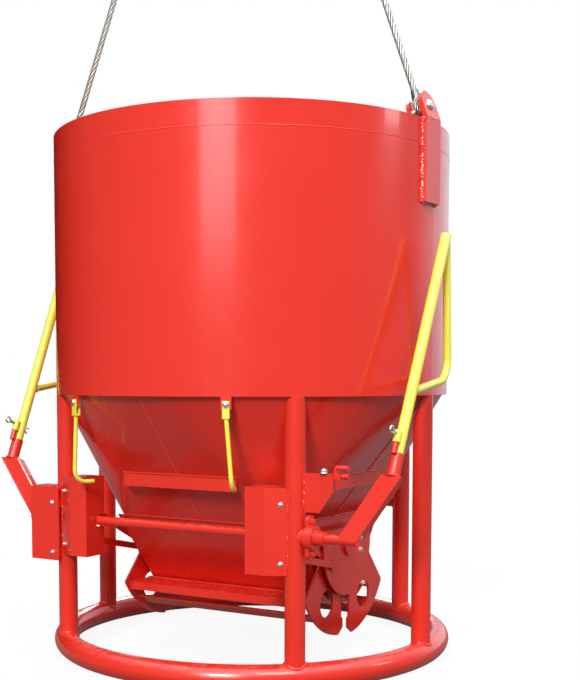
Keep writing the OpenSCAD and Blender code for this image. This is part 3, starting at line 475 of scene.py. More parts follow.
SMOOTH_ANGLE = math.radians(40)
BAR_SMOOTH_ANGLE = math.radians(60)
ROPE_SMOOTH_ANGLE = math.radians(70)
HEXAGON_SMOOTH_ANGLE = math.radians(20)


def smooth(obj, angle=SMOOTH_ANGLE):
    pick(obj)
    bpy.ops.object.shade_smooth_by_angle(angle=angle)


# A circle that is extruded up a profile of (radius, height) rings and closed at both ends
def turned(name, profile, sides):
    deselect()
    radius, height = profile[0]
    bpy.ops.mesh.primitive_circle_add(vertices=sides, radius=radius, fill_type="NGON",
                                      location=(0, 0, height))
    obj = bpy.context.object
    obj.name = name
    bpy.ops.object.transform_apply(location=True)
    edit(obj)
    for last, ring in zip(profile, profile[1:]):
        rise = ring[1] - last[1]
        grow = ring[0] / last[0]
        bpy.ops.mesh.extrude_region_move(TRANSFORM_OT_translate={"value": (0, 0, rise)})
        bpy.ops.transform.resize(value=(grow, grow, 1), center_override=(0, 0, ring[1]))
    object_mode()
    clean(obj)
    return obj


LEAST_STEPS = 3


# Points at even steps along a line
def spread(points, step, closed=False):
    route = [Vector(p) for p in points]
    if closed:
        route.append(route[0])
    lengths = [(b - a).length for a, b in zip(route, route[1:])]
    total = sum(lengths)
    count = max(LEAST_STEPS, round(total / step))
    spaced = []
    leg, walked = 0, 0.0
    for k in range(count if closed else count + 1):
        target = total * k / count
        while leg < len(lengths) - 1 and walked + lengths[leg] < target:
            walked += lengths[leg]
            leg += 1
        share = (target - walked) / lengths[leg] if lengths[leg] else 0
        spaced.append(route[leg].lerp(route[leg + 1], min(1.0, share)))
    return spaced


BAR_FINENESS = 2
BEAD_FINENESS = 1


def bent_bar(name, points, radius, closed=False, radii=None, fineness=BAR_FINENESS):
    deselect()
    bpy.ops.curve.primitive_nurbs_path_add(radius=1, location=(0, 0, 0))
    obj = bpy.context.object
    obj.name = name
    line = obj.data
    line.splines.clear()
    route = line.splines.new("POLY")
    route.points.add(len(points) - 1)
    for k, point in enumerate(points):
        route.points[k].co = (*point, 1)
        route.points[k].radius = radii[k] if radii else 1.0
    route.use_cyclic_u = closed
    line.dimensions = "3D"
    line.bevel_depth = radius
    line.bevel_resolution = fineness
    line.use_fill_caps = not closed
    bpy.ops.object.convert(target="MESH")
    obj = bpy.context.object
    clean(obj)
    smooth(obj, BAR_SMOOTH_ANGLE)
    return obj


RIPPLE_PITCH = 0.010
RIPPLE_STEP = 0.0033
RIPPLE_SHARE = 0.16
UNEVEN_SHARE = 0.12
SLOW_WAVE = 71.0
SLOW_BEAT = 133.0
BEAT_SHIFT = 1.3


# A weld bead along a line: its thickness ripples, with a slower unevenness
def weld_bead(points, radius, closed=False, ripple=RIPPLE_SHARE, uneven=UNEVEN_SHARE, step=RIPPLE_STEP):
    route = spread(points, step, closed)
    swell = []
    for k in range(len(route)):
        s = k * step
        fine = math.sin(FULL_TURN * s / RIPPLE_PITCH)
        slow = math.sin(s * SLOW_WAVE) + math.sin(s * SLOW_BEAT + BEAT_SHIFT)
        swell.append(1 + ripple * fine + uneven * slow / 2)
    return bent_bar("bead", route, radius, closed, swell, BEAD_FINENESS)


def place(obj, matrix):
    obj.matrix_world = matrix
    pick(obj)
    bpy.ops.object.transform_apply(location=True, rotation=True, scale=True)
    return obj


def facing(point, axis, roll=0.0):
    turn = Vector(axis).to_track_quat("Z", "Y").to_matrix().to_4x4()
    return Matrix.Translation(point) @ turn @ Matrix.Rotation(roll, 4, "Z")


def join(name, pieces):
    pick(pieces[0])
    for piece in pieces[1:]:
        piece.select_set(True)
    if len(pieces) > 1:
        bpy.ops.object.join()
    made = bpy.context.object
    made.name = name
    made.data.name = name
    return made


def dress(name, pieces, material, body, replaced=()):
    made = join(name, pieces)
    coat(made, material)
    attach(made, body)
    if replaced:
        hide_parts(*replaced)
    return made


ROUND_POINTS = 48


def around(centre, u, v, radius, count=ROUND_POINTS):
    return [centre + radius * (math.cos(FULL_TURN * k / count) * u + math.sin(FULL_TURN * k / count) * v)
            for k in range(count)]


AXIS_X, AXIS_Y, AXIS_Z = Vector((1, 0, 0)), Vector((0, 1, 0)), Vector((0, 0, 1))


def mirrored(point):
    return Vector((-point[0], point[1], point[2]))


# Sling ropes: strands wound round a straight core, with pressed ferrules and an eye at each end
def lug_place(angle, x, y, z):
    out = -LUG_OUT_R + y * math.cos(LUG_LEAN) + z * math.sin(LUG_LEAN)
    up = LUG_BEND_Z - y * math.sin(LUG_LEAN) + z * math.cos(LUG_LEAN)
    return Matrix.Rotation(angle, 4, "Z") @ Vector((x, out, up))


def lug_axis(angle):
    return (lug_place(angle, 0, 1, 0) - lug_place(angle, 0, 0, 0)).normalized()


def eye_point(angle):
    return lug_place(angle, 0, LUG_T + LUG_GAP / 2, LUG_EYE_H)


def sling_direction(angle):
    return (SLING_MEET - eye_point(angle)).normalized()


STRANDS = 6
STRAND_POINTS = 6
STRAND_SWELL = 0.24
ROPE_LAY = 0.160
ROPE_STEP = 0.0045


# Twisted strands round a line, with a UV map of strands across and metres along
def strand_mesh(name, route, radius):
    sides = STRANDS * STRAND_POINTS
    rings = len(route)
    verts, faces, lengths = [], [], []
    walked = 0.0
    side = None
    for k, point in enumerate(route):
        ahead = route[min(k + 1, rings - 1)]
        behind = route[max(k - 1, 0)]
        along = (ahead - behind).normalized()
        walked += (point - behind).length
        if side is None:
            side = along.orthogonal().normalized()
        side = (side - along * side.dot(along)).normalized()
        other = along.cross(side)
        lengths.append(walked)
        for n in range(sides):
            turn = FULL_TURN * n / sides
            lobe = 1 - STRAND_SWELL * (1 - abs(math.cos(STRANDS * turn / 2)))
            bearing = turn + FULL_TURN * walked / ROPE_LAY
            verts.append(point + radius * lobe * (math.cos(bearing) * side + math.sin(bearing) * other))
    for k in range(rings - 1):
        here, after = k * sides, (k + 1) * sides
        for n in range(sides):
            m = (n + 1) % sides
            faces.append((here + n, here + m, after + m, after + n))
    faces.append(tuple(reversed(range(sides))))
    faces.append(tuple((rings - 1) * sides + n for n in range(sides)))
    mesh = bpy.data.meshes.new(name)
    mesh.from_pydata(verts, [], faces)
    layer = mesh.uv_layers.new(name="strands")
    for face in mesh.polygons[:sides * (rings - 1)]:
        k, n = divmod(face.index, sides)
        low, high = lengths[k], lengths[k + 1]
        corners = ((n, low), (n + 1, low), (n + 1, high), (n, high))
        for loop, (turn, along) in zip(face.loop_indices, corners):
            layer.data[loop].uv = (turn / STRAND_POINTS, along)
    obj = bpy.data.objects.new(name, mesh)
    bpy.context.scene.collection.objects.link(obj)
    smooth(obj, ROPE_SMOOTH_ANGLE)
    return obj


FERRULE_PROFILE = [(0.0150, 0.0), (0.0168, 0.001), (0.0170, 0.003), (0.0164, 0.009), (0.0148, 0.020),
                   (0.0132, 0.030), (0.0124, 0.0345), (0.0114, 0.036)]
FERRULE_SIDES = 28
EYE_TAIL = 0.006
EYE_POINTS = 26
EYE_OVER = 0.004
EYE_THICKNESS = 0.96


# The loop of an eye: two legs leave the ferrule, run tangent to a circle and close round it
def eye_route(centre, along, across, reach):
    tangent = math.acos(EYE_RING_R / reach)
    route = [centre + along * reach + across * EYE_TAIL]
    for k in range(EYE_POINTS + 1):
        turn = tangent + (FULL_TURN - 2 * tangent) * k / EYE_POINTS
        route.append(centre + EYE_RING_R * (along * math.cos(turn) + across * math.sin(turn)))
    route.append(centre + along * reach - across * EYE_TAIL)
    return spread(route, ROPE_STEP)


def make_sling(side):
    angle = LUG_ANGLES[side]
    low = eye_point(angle)
    along = sling_direction(angle)
    axis = lug_axis(angle)
    across = along.cross(axis).normalized()
    foot_s = FERRULE_S + FERRULE_L
    head_s = foot_s + ROPE_L
    top_s = head_s + FERRULE_L + EYE_RING_R
    in_plane = (along - axis * along.dot(axis)).normalized()
    low_line = eye_route(low, in_plane, across, FERRULE_S + EYE_OVER)
    high_line = eye_route(low + along * top_s, -along, across, EYE_RING_R + EYE_OVER)
    low_eye = strand_mesh("low_eye", low_line, ROPE_R * EYE_THICKNESS)
    high_eye = strand_mesh("high_eye", high_line, ROPE_R * EYE_THICKNESS)
    eyes = dress("sling_eyes_" + side, [low_eye, high_eye], rope_wire, "frame")
    ferrules = []
    for s, way in ((FERRULE_S, along), (head_s + FERRULE_L, -along)):
        ferrule = turned("ferrule", FERRULE_PROFILE, FERRULE_SIDES)
        smooth(ferrule)
        ferrules.append(place(ferrule, facing(low + along * s, way)))
    sleeves = dress("sling_ferrules_" + side, ferrules, ferrule_metal, "frame", ["sling_fittings"])
    foot, head = [low + along * s for s in (FERRULE_S, head_s + FERRULE_L)]
    length = ROPE_L + 2 * FERRULE_L
    steps = round(length / ROPE_STEP)
    path = [foot.lerp(head, k / steps) for k in range(steps + 1)]
    rope = strand_mesh("sling_rope_" + side, path, ROPE_R)
    dress(rope.name, [rope], rope_wire, "frame", ["sling_" + side])


make_sling("left")
make_sling("right")


# Weld beads: how far a hopper wall stands from the axis, and lines where round bars meet
def wall_y(z):
    slope = (DRUM_R - DRUM_WALL - NECK_HALF) / (HOPPER_TOP_Z - NECK_Z)
    return NECK_HALF + slope * (z - NECK_Z)


def leg_centre(degrees):
    a = math.radians(degrees)
    return Vector((LEG_CIRCLE_R * math.sin(a), -LEG_CIRCLE_R * math.cos(a), 0))


def foot_line(degrees):
    line = []
    for point in around(leg_centre(degrees), AXIS_X, AXIS_Y, LEG_R):
        off = math.hypot(point.x, point.y) - RING_R
        line.append(Vector((point.x, point.y, RING_Z + math.sqrt(RING_TUBE_R ** 2 - off ** 2))))
    return line


BAR_LINE_POINTS = 40


# Line where a bar along X meets a leg, on the leg's side that faces away from or towards the middle
def bar_on_leg(centre_x, y, z, bar_r, side):
    line = []
    for point in around(Vector((0, 0, 0)), AXIS_Y, AXIS_Z, bar_r, BAR_LINE_POINTS):
        reach = math.sqrt(LEG_R ** 2 - point.y ** 2)
        line.append(Vector((centre_x + side * reach, y + point.y, z + point.z)))
    return line


FOOT_BEAD = 0.0055
BUSH_BEAD = 0.0045
SEAM_BEAD = 0.0034
PLATE_BEAD = 0.004
JOINT_BEAD = 0.006
JOINT_STEP = 0.006
JOINT_POINTS = 160
JOINT_UP = 0.005
JOINT_IN = 0.0075
CHUTE_BEAD_IN = 0.0078
REAR_LEG_ANGLE = LEG_ANGLES[-1]


def frame_welds():
    beads = [weld_bead(foot_line(a), FOOT_BEAD, True) for a in LEG_ANGLES]
    for side in (-1, 1):
        for face in (-1, 1):
            line = bar_on_leg(side * FRONT_LEG_X, SHAFT_Y, SHAFT_Z, BUSH_R, face)
            beads.append(weld_bead(line, BUSH_BEAD, True))
        rear = leg_centre(side * REAR_LEG_ANGLE)
        beads.append(weld_bead(bar_on_leg(rear.x, rear.y, SHAFT_Z, TIE_R, -side), BUSH_BEAD, True))
        hub = Vector((side * (NECK_HALF + PLATE_BEAD / 2), 0, GATE_Z))
        beads.append(weld_bead(around(hub, AXIS_Y, AXIS_Z, GATE_HUB_R), PLATE_BEAD, True))
    return dress("frame_welds", beads, red_weld, "frame")


SIDES_OF_HOPPER = 4


def quarter_turned(points):
    for k in range(SIDES_OF_HOPPER):
        turn = Matrix.Rotation(QUARTER_TURN * k, 4, "Z")
        yield [turn @ Vector(p) for p in points]


# Beads on the stiffeners, round the neck, down the chute's corners and under the drum
def hopper_welds():
    beads = []
    top = STIFFENER_Z + STIFFENER_H
    bar_y = -wall_y(top) - STIFFENER_T
    bar_z = top + STIFFENER_T * (top - NECK_Z) / (wall_y(top) - NECK_HALF)
    for line in quarter_turned([(-STIFFENER_HALF, bar_y, bar_z), (STIFFENER_HALF, bar_y, bar_z)]):
        beads.append(weld_bead(line, PLATE_BEAD))
    for line in quarter_turned([(-NECK_HALF, -NECK_HALF, NECK_Z), (NECK_HALF, -NECK_HALF, NECK_Z)]):
        beads.append(weld_bead(line, SEAM_BEAD))
    for sx in (-1, 1):
        for sy in (-1, 1):
            high = (sx * NECK_HALF, sy * (NECK_HALF - CHUTE_BEAD_IN), NECK_Z)
            low = (sx * NECK_HALF, sy * (wall_y(CHUTE_LOW_Z) - CHUTE_BEAD_IN), CHUTE_LOW_Z)
            beads.append(weld_bead([high, low], PLATE_BEAD))
    centre = Vector((0, 0, DRUM_BASE_Z + JOINT_UP))
    joint = around(centre, AXIS_X, AXIS_Y, DRUM_R - JOINT_IN, JOINT_POINTS)
    beads.append(weld_bead(joint, JOINT_BEAD, True, step=JOINT_STEP))
    return dress("hopper_welds", beads, red_weld, "frame")


# One upright seam in the middle of each hopper wall, in a lighter red than the wall as a painted highlight
def hopper_seams():
    low = (0, -NECK_HALF, NECK_Z)
    high = (0, -wall_y(HOPPER_TOP_Z), HOPPER_TOP_Z)
    beads = [weld_bead(line, SEAM_BEAD) for line in quarter_turned([low, high])]
    return dress("hopper_seams", beads, seam_highlight_weld, "frame")


RIM_SEAM_R = 0.0021
RIM_SEAM_POINTS = 192
RIM_SEAM_UNEVEN = 0.2
RIM_SEAM_STEP = 0.02


def rim_seam():
    centre = Vector((0, 0, RIM_Z - RIM_BAND_H))
    line = around(centre, AXIS_X, AXIS_Y, DRUM_R - RIM_SEAM_R / 2, RIM_SEAM_POINTS)
    seam = weld_bead(line, RIM_SEAM_R, True, ripple=0.0, uneven=RIM_SEAM_UNEVEN, step=RIM_SEAM_STEP)
    return dress("rim_seam", [seam], red_paint, "frame")


HAND_STEP = 0.004
HAND_RIPPLE = 0.24
LUG_BEAD = 0.0065
LUG_UNEVEN = 0.4
LUG_BEAD_OUT = 0.25
LUG_BEAD_PROUD = 0.35
LUG_FOOT_BEAD = LUG_BEAD * 0.7
LUG_FOOT_RIPPLE = 0.2
LUG_FOOT_UNEVEN = 0.3
LUG_FOOT_OUT = 0.001
LUG_FOOT_DOWN = 0.002


# Hand welds down both edges and along the foot of a lifting lug
def lug_welds(side):
    angle = LUG_ANGLES[side]
    turn = Matrix.Rotation(angle, 4, "Z")
    half = LUG_W / 2
    edge_x = half + LUG_BEAD * LUG_BEAD_OUT
    edge_y = -math.sqrt(DRUM_R ** 2 - half ** 2) - LUG_BEAD * LUG_BEAD_PROUD
    low = RIM_Z - LUG_L
    beads = []
    for sx in (-1, 1):
        line = [turn @ Vector((sx * edge_x, edge_y, z)) for z in (low, RIM_Z)]
        beads.append(weld_bead(line, LUG_BEAD, ripple=HAND_RIPPLE, uneven=LUG_UNEVEN, step=HAND_STEP))
    foot = [turn @ Vector((x, edge_y - LUG_FOOT_OUT, low - LUG_FOOT_DOWN)) for x in (-half, half)]
    beads.append(weld_bead(foot, LUG_FOOT_BEAD, ripple=LUG_FOOT_RIPPLE, uneven=LUG_FOOT_UNEVEN,
                           step=HAND_STEP))
    return dress("lug_weld_" + side, beads, lug_weld, "frame")


COVER_BEAD = 0.0034
COVER_BEAD_OUT = 0.7
COVER_BEAD_PROUD = 0.4
COVER_BEAD_UNEVEN = 0.3
COVER_BEAD_MARGIN = 0.022
BRACKET_BEAD_MARGIN = 0.010


def cover_bead(low, high):
    return weld_bead([low, high], COVER_BEAD, ripple=HAND_RIPPLE, uneven=COVER_BEAD_UNEVEN, step=HAND_STEP)


# Welds between the crank covers' flanges and the front legs
def cover_welds():
    x = COVER_LEG.x + COVER_BEAD * COVER_BEAD_OUT
    reach = math.sqrt(LEG_R ** 2 - (FRONT_LEG_X - x) ** 2)
    low = Vector((x, SHAFT_Y - reach - COVER_BEAD * COVER_BEAD_PROUD, COVER_Z + COVER_BEAD_MARGIN))
    high = low + AXIS_Z * (COVER_H - 2 * COVER_BEAD_MARGIN)
    beads = [cover_bead(low, high), cover_bead(mirrored(low), mirrored(high))]
    return dress("cover_flange_welds", beads, cover_weld, "frame")


# Weld between the lock bracket's front face and the right front leg
def bracket_weld():
    y = BRACKET_T / 2 + COVER_BEAD * COVER_BEAD_PROUD
    x = FRONT_LEG_X + math.sqrt(LEG_R ** 2 - y ** 2) + COVER_BEAD * COVER_BEAD_PROUD
    low = Vector((x, SHAFT_Y - y, BRACKET_Z + BRACKET_BEAD_MARGIN))
    high = low + AXIS_Z * (BRACKET_H - 2 * BRACKET_BEAD_MARGIN)
    return dress("lock_bracket_weld", [cover_bead(low, high)], cover_weld, "frame")


frame_welds()
cover_welds()
bracket_weld()
hopper_welds()
hopper_seams()
rim_seam()
lug_welds("left")
lug_welds("right")


# Bolts: a head on a washer, hexagon heads and nuts with a chamfered crown
WASHER_EDGE = 0.25
WASHER_SIDES = 28
STEM_EDGE = 0.15
STEM_SIDES = 24
HEXAGON_SIDES = 6
HEXAGON_CROWN = 0.16
HEXAGON_FOOT = 0.92
HEXAGON_TOP = 0.86
DOME_RINGS = 6
DOME_OPEN = 0.4
DOME_SIDES = 24


# A round disc or rod with a small chamfer at both ends
def chamfered(name, radius, low, high, edge, sides):
    profile = [(radius - edge, low), (radius, low + edge), (radius, high - edge), (radius - edge, high)]
    made = turned(name, profile, sides)
    smooth(made)
    return made


def washer(radius, thick):
    return chamfered("washer", radius, 0, thick, thick * WASHER_EDGE, WASHER_SIDES)


def stem(radius, low, high):
    return chamfered("stem", radius, low, high, radius * STEM_EDGE, STEM_SIDES)


def hexagon(radius, height):
    crown = height * HEXAGON_CROWN
    profile = [(radius * HEXAGON_FOOT, 0), (radius, crown), (radius, height - crown),
               (radius * HEXAGON_TOP, height)]
    head = turned("hexagon", profile, HEXAGON_SIDES)
    smooth(head, HEXAGON_SMOOTH_ANGLE)
    return head


def dome(radius, height):
    profile = []
    for k in range(DOME_RINGS + 1):
        turn = QUARTER_TURN * k / (DOME_RINGS + DOME_OPEN)
        profile.append((radius * math.cos(turn), height * math.sin(turn)))
    cap = turned("dome", profile, DOME_SIDES)
    smooth(cap)
    return cap


def up_by(obj, height):
    return place(obj, Matrix.Translation((0, 0, height)))


COVER_WASHER_T = 0.0018
COVER_HEAD_R = COVER_BOLT_R * 0.86
COVER_HEAD_T = 0.0042
COVER_HEAD_UP = 0.0016
COVER_CAP_R = COVER_BOLT_R * 0.66
COVER_CAP_T = 0.0042
COVER_CAP_UP = 0.0054
COVER_BOLT_ROLL = 0.3


def cover_bolt(point, axis):
    parts = [washer(COVER_BOLT_R, COVER_WASHER_T),
             up_by(hexagon(COVER_HEAD_R, COVER_HEAD_T), COVER_HEAD_UP),
             up_by(dome(COVER_CAP_R, COVER_CAP_T), COVER_CAP_UP)]
    return place(join("cover_bolt", parts), facing(point, axis, COVER_BOLT_ROLL))


def cover_bolts():
    bolts = []
    run = COVER_LEG - COVER_CORNER
    out = Vector((run.y, -run.x, 0)).normalized()
    spot = COVER_CORNER + COVER_BOLT_SHARE * run
    for z in COVER_BOLT_ZS:
        point = Vector((spot.x, spot.y, z))
        bolts.append(cover_bolt(point, out))
        bolts.append(cover_bolt(mirrored(point), mirrored(out)))
    for z in OUTER_BOLT_ZS:
        bolts.append(cover_bolt(Vector((-OUTER_BOLT_X, OUTER_FRONT_Y, z)), -AXIS_Y))
    return dress("cover_cap_bolts", bolts, zinc, "frame", ["cover_bolts"])


LUG_WASHER_T = 0.003
LUG_CAP_R = LUG_HEAD_R * 0.9
LUG_STEM_UP = 0.001


def lug_bolts():
    bolts = []
    through = LUG_T + LUG_GAP + LUG_IN_T
    for angle in LUG_ANGLES.values():
        out = -lug_axis(angle)
        start = lug_place(angle, 0, 0, LUG_EYE_H)
        parts = [washer(LUG_HEAD_R, LUG_WASHER_T),
                 up_by(dome(LUG_CAP_R, LUG_HEAD_T - LUG_WASHER_T), LUG_WASHER_T),
                 stem(LUG_BOLT_R, -through - LUG_BOLT_OVER, LUG_STEM_UP),
                 up_by(hexagon(LUG_HEAD_R, LUG_HEAD_T), -through - LUG_HEAD_T)]
        bolts.append(place(join("lug_bolt", parts), facing(start, out)))
    return dress("lug_eye_bolts", bolts, zinc, "frame", ["lug_bolts"])


HOOK_BOLT_HALF = 0.0106
HOOK_BOLT_R = 0.007
HOOK_HEAD_R = 0.012
HOOK_HEAD_T = 0.007
HOOK_NUT_T = 0.005
HOOK_WASHER_T = 0.0018
HOOK_CAP_R = HOOK_HEAD_R * 0.88
HOOK_STEM_OVER = 0.001


def hook_bolts():
    bolts = []
    for side in (-1, 1):
        a = side * HOOK_ANGLE
        out = Vector((math.sin(a), -math.cos(a), 0))
        centre = out * (DRUM_R - DRUM_WALL / 2) + AXIS_Z * HOOK_BOLT_Z
        cap_t = HOOK_HEAD_T - HOOK_WASHER_T
        parts = [stem(HOOK_BOLT_R, -HOOK_BOLT_HALF - HOOK_STEM_OVER, HOOK_BOLT_HALF + HOOK_STEM_OVER),
                 up_by(washer(HOOK_HEAD_R, HOOK_WASHER_T), HOOK_BOLT_HALF),
                 up_by(dome(HOOK_CAP_R, cap_t), HOOK_BOLT_HALF + HOOK_WASHER_T),
                 up_by(hexagon(HOOK_HEAD_R, HOOK_NUT_T), -HOOK_BOLT_HALF - HOOK_NUT_T)]
        bolts.append(place(join("hook_bolt", parts), facing(centre, out)))
    return dress("hook_pivot_bolts", bolts, zinc, "frame", ["hook_bolts"])


LOCK_NUT_OUT = 0.108
LOCK_NUT_Z = 0.7302
LOCK_NUT_R = 0.0132
LOCK_NUT_T = 0.010
LOCK_WASHER_R = 0.0150
LOCK_WASHER_T = 0.003
LOCK_TIP_R = 0.0080
LOCK_TIP_T = 0.005


def lock_nut():
    spot = Vector((FRONT_LEG_X + LOCK_NUT_OUT, SHAFT_Y - BRACKET_T / 2, LOCK_NUT_Z))
    parts = [washer(LOCK_WASHER_R, LOCK_WASHER_T), up_by(hexagon(LOCK_NUT_R, LOCK_NUT_T), LOCK_WASHER_T),
             up_by(dome(LOCK_TIP_R, LOCK_TIP_T), LOCK_WASHER_T + LOCK_NUT_T)]
    nut = place(join("nut", parts), Matrix.Translation(spot))
    return dress("lock_bracket_nut", [nut], zinc, "frame")


END_PLATE_X = 0.730
END_BOLT_DOWN = 0.0252
END_BOLT_UP = 0.014
END_WASHER_R = 0.0095
END_WASHER_T = 0.0018
END_HEAD_R = 0.0080
END_HEAD_T = 0.0052
END_HEAD_UP = 0.0016


def end_plate_bolts():
    bolts = []
    for z in (SHAFT_Z - END_BOLT_DOWN, SHAFT_Z + END_BOLT_UP):
        parts = [washer(END_WASHER_R, END_WASHER_T), up_by(hexagon(END_HEAD_R, END_HEAD_T), END_HEAD_UP)]
        bolts.append(place(join("end_bolt", parts), facing(Vector((END_PLATE_X, SHAFT_Y, z)), AXIS_X)))
    return dress("end_plate_bolts", bolts, zinc, "lever_shaft")


cover_bolts()
lug_bolts()
hook_bolts()
lock_nut()
end_plate_bolts()


# Levers: the handle's frame, split pins and the welds of stub and bow
def handle_matrix():
    head = Vector((ARM_X + ARM_L * math.sin(ARM_OUT), 0, ARM_L * math.cos(ARM_OUT)))
    foot = Matrix.Rotation(-ARM_BACK, 4, "X") @ Vector((0, 0, head.z))
    spot = Vector((head.x, SHAFT_Y + foot.y, SHAFT_Z + foot.z))
    lean = Matrix.Rotation(-HANDLE_BACK, 4, "X") @ Matrix.Rotation(HANDLE_OUT, 4, "Y")
    return Matrix.Translation(spot) @ lean


HANDLE = handle_matrix()
FLIP = Matrix.Scale(-1, 4, (1, 0, 0))
PIN_WIRE_R = 0.0032
PIN_GAP = 0.0034
PIN_LOOP_R = 0.011
PIN_SPLAY = 0.010
PIN_LOW_SPLAY = PIN_SPLAY * 0.8
PIN_LOW_SHORT = 0.003
PIN_BEND_PAST = 0.003
PIN_NECK = PIN_LOOP_R * 1.2
PIN_LOOP_START = 50
PIN_LOOP_SWEEP = 260
PIN_LOOP_STEPS = 12
PIN_STEP = 0.004


# One wire bent double: a loop at the front, two prongs that splay behind the tube
def pin_route():
    front = -SLEEVE_Y - SLEEVE_R - LINCH_HEAD
    back = HANDLE_R + LINCH_TAIL
    bend = HANDLE_R + PIN_BEND_PAST
    loop_y = front + PIN_LOOP_R
    neck_y = loop_y + PIN_NECK
    high = [Vector((0, back, LINCH_S + PIN_GAP + PIN_SPLAY)), Vector((0, bend, LINCH_S + PIN_GAP)),
            Vector((0, neck_y, LINCH_S + PIN_GAP))]
    loop = []
    for k in range(PIN_LOOP_STEPS + 1):
        turn = math.radians(PIN_LOOP_START + PIN_LOOP_SWEEP * k / PIN_LOOP_STEPS)
        loop.append(Vector((0, loop_y + PIN_LOOP_R * math.cos(turn), LINCH_S + PIN_LOOP_R * math.sin(turn))))
    low = [Vector((0, neck_y, LINCH_S - PIN_GAP)), Vector((0, bend, LINCH_S - PIN_GAP)),
           Vector((0, back - PIN_LOW_SHORT, LINCH_S - PIN_GAP - PIN_LOW_SPLAY))]
    return high + loop + low


def both_levers(make):
    pieces = []
    for side in (Matrix.Identity(4), FLIP):
        piece = place(make(), side @ HANDLE)
        clean(piece)
        pieces.append(piece)
    return pieces


def split_pin():
    return bent_bar("split_pin", spread(pin_route(), PIN_STEP), PIN_WIRE_R)


STUB_BEAD = 0.004
STUB_BEAD_UP = 0.001
STUB_BEAD_OUT = 0.001


def stub_weld():
    foot = Vector((0, 0, STUB_BEAD_UP))
    return weld_bead(around(foot, AXIS_X, AXIS_Y, STUB_FOOT_R + STUB_BEAD_OUT), STUB_BEAD, True)


BOW_FOOT = Vector((0, 0, 0.298))
BOW_RISE = Vector((0, 0.2557, 0.1646)).normalized()
BOW_BEAD = 0.003
BOW_BEAD_OUT = 0.002


def bow_weld():
    reach = (HANDLE_R + BOW_BEAD_OUT) / BOW_RISE.y
    upright = AXIS_X.cross(BOW_RISE)
    return weld_bead(around(BOW_FOOT + BOW_RISE * reach, AXIS_X, upright, BOW_R), BOW_BEAD, True)


ARM_SEAM_R = 0.0034
ARM_SEAM_LOW = 0.060
ARM_SEAM_HIGH = 0.214
ARM_SEAM_RIPPLE = 0.03
ARM_SEAM_UNEVEN = 0.06


# Seams along the front edges of a lever's arm, which leans out from the shaft by its own angle
def arm_seams(side, foot_x):
    out = math.atan((ARM_X + ARM_L * math.sin(ARM_OUT) - foot_x) / (ARM_L * math.cos(ARM_OUT)))
    lean = Matrix.Translation((0, SHAFT_Y, SHAFT_Z)) @ Matrix.Rotation(-ARM_BACK, 4, "X")
    half = (ARM_W / math.cos(out) - ARM_SEAM_R) / 2
    front = -(ARM_DEPTH - ARM_SEAM_R) / 2
    seams = []
    for edge in (-1, 1):
        line = []
        for height in (ARM_SEAM_LOW, ARM_SEAM_HIGH):
            spot = lean @ Vector((foot_x + edge * half + height * math.tan(out), front, height))
            line.append(Vector((side * spot.x, spot.y, spot.z)))
        seams.append(weld_bead(line, ARM_SEAM_R, ripple=ARM_SEAM_RIPPLE, uneven=ARM_SEAM_UNEVEN))
    return seams


right_seams = arm_seams(1, ARM_X)
left_inner_seam, left_outer_seam = arm_seams(-1, ARM_X - ARM_LEFT_IN)
dress("lever_arm_seams", right_seams + [left_outer_seam], red_paint, "lever_shaft")
# The left arm's inner seam is pale: a painted highlight on its edge, with some wear
dress("lever_arm_worn_seam", [left_inner_seam], worn_highlight_seam, "lever_shaft")
dress("lever_split_pins", both_levers(split_pin), zinc, "lever_shaft", ["linchpins"])
dress("lever_stub_welds", both_levers(stub_weld), red_weld, "lever_shaft")
dress("handle_bow_welds", both_levers(bow_weld), yellow_weld, "lever_shaft")


# Stage: pale floor, soft lamps and a white surround
WHITE = (1, 1, 1, 1)
FLOOR_SIZE = 60.0
FLOOR_ROUGHNESS = 0.9
FLOOR_GLOW = 0.90
FLOOR_GLOW_MIRRORED = 0.1
FLOOR_FADE = (1.0, 2.6)
FLOOR_SEEN = (0.8, 0.8, 0.8, 1)
FLOOR_AS_LIGHT = (0.12, 0.12, 0.118, 1)


# White to the eye but for a faint shadow near the bucket; darker as light on it
def stage_floor():
    deselect()
    bpy.ops.mesh.primitive_plane_add(size=FLOOR_SIZE, location=(0, 0, 0))
    floor = bpy.context.object
    floor.name = "floor"
    made = bpy.data.materials.new("floor_white")
    made.use_nodes = True
    tree = made.node_tree
    skin = tree.nodes["Principled BSDF"]
    skin.inputs["Roughness"].default_value = FLOOR_ROUGHNESS
    skin.inputs["Specular IOR Level"].default_value = 0.0
    glow = add_node(tree, "ShaderNodeEmission", {"Color": WHITE, "Strength": 1.0})
    path = add_node(tree, "ShaderNodeLightPath")
    seen = math_on(tree, "ADD", path.outputs["Is Camera Ray"], path.outputs["Is Transmission Ray"])
    tree.links.new(mix_on(tree, seen, FLOOR_AS_LIGHT, FLOOR_SEEN), skin.inputs["Base Color"])
    spot = add_node(tree, "ShaderNodeTexCoord").outputs["Object"]
    reach = add_node(tree, "ShaderNodeVectorMath", operation="LENGTH")
    tree.links.new(spot, reach.inputs[0])
    fade = ramp_on(tree, reach.outputs["Value"], *FLOOR_FADE, FLOOR_GLOW, 1.0)
    share = math_on(tree, "MULTIPLY", seen, fade)
    mirrored_share = math_on(tree, "MULTIPLY", path.outputs["Is Glossy Ray"], FLOOR_GLOW_MIRRORED)
    share = math_on(tree, "MAXIMUM", share, mirrored_share)
    mix = add_node(tree, "ShaderNodeMixShader")
    tree.links.new(share, mix.inputs["Fac"])
    tree.links.new(skin.outputs[0], mix.inputs[1])
    tree.links.new(glow.outputs[0], mix.inputs[2])
    tree.links.new(mix.outputs[0], tree.nodes["Material Output"].inputs["Surface"])
    coat(floor, made)


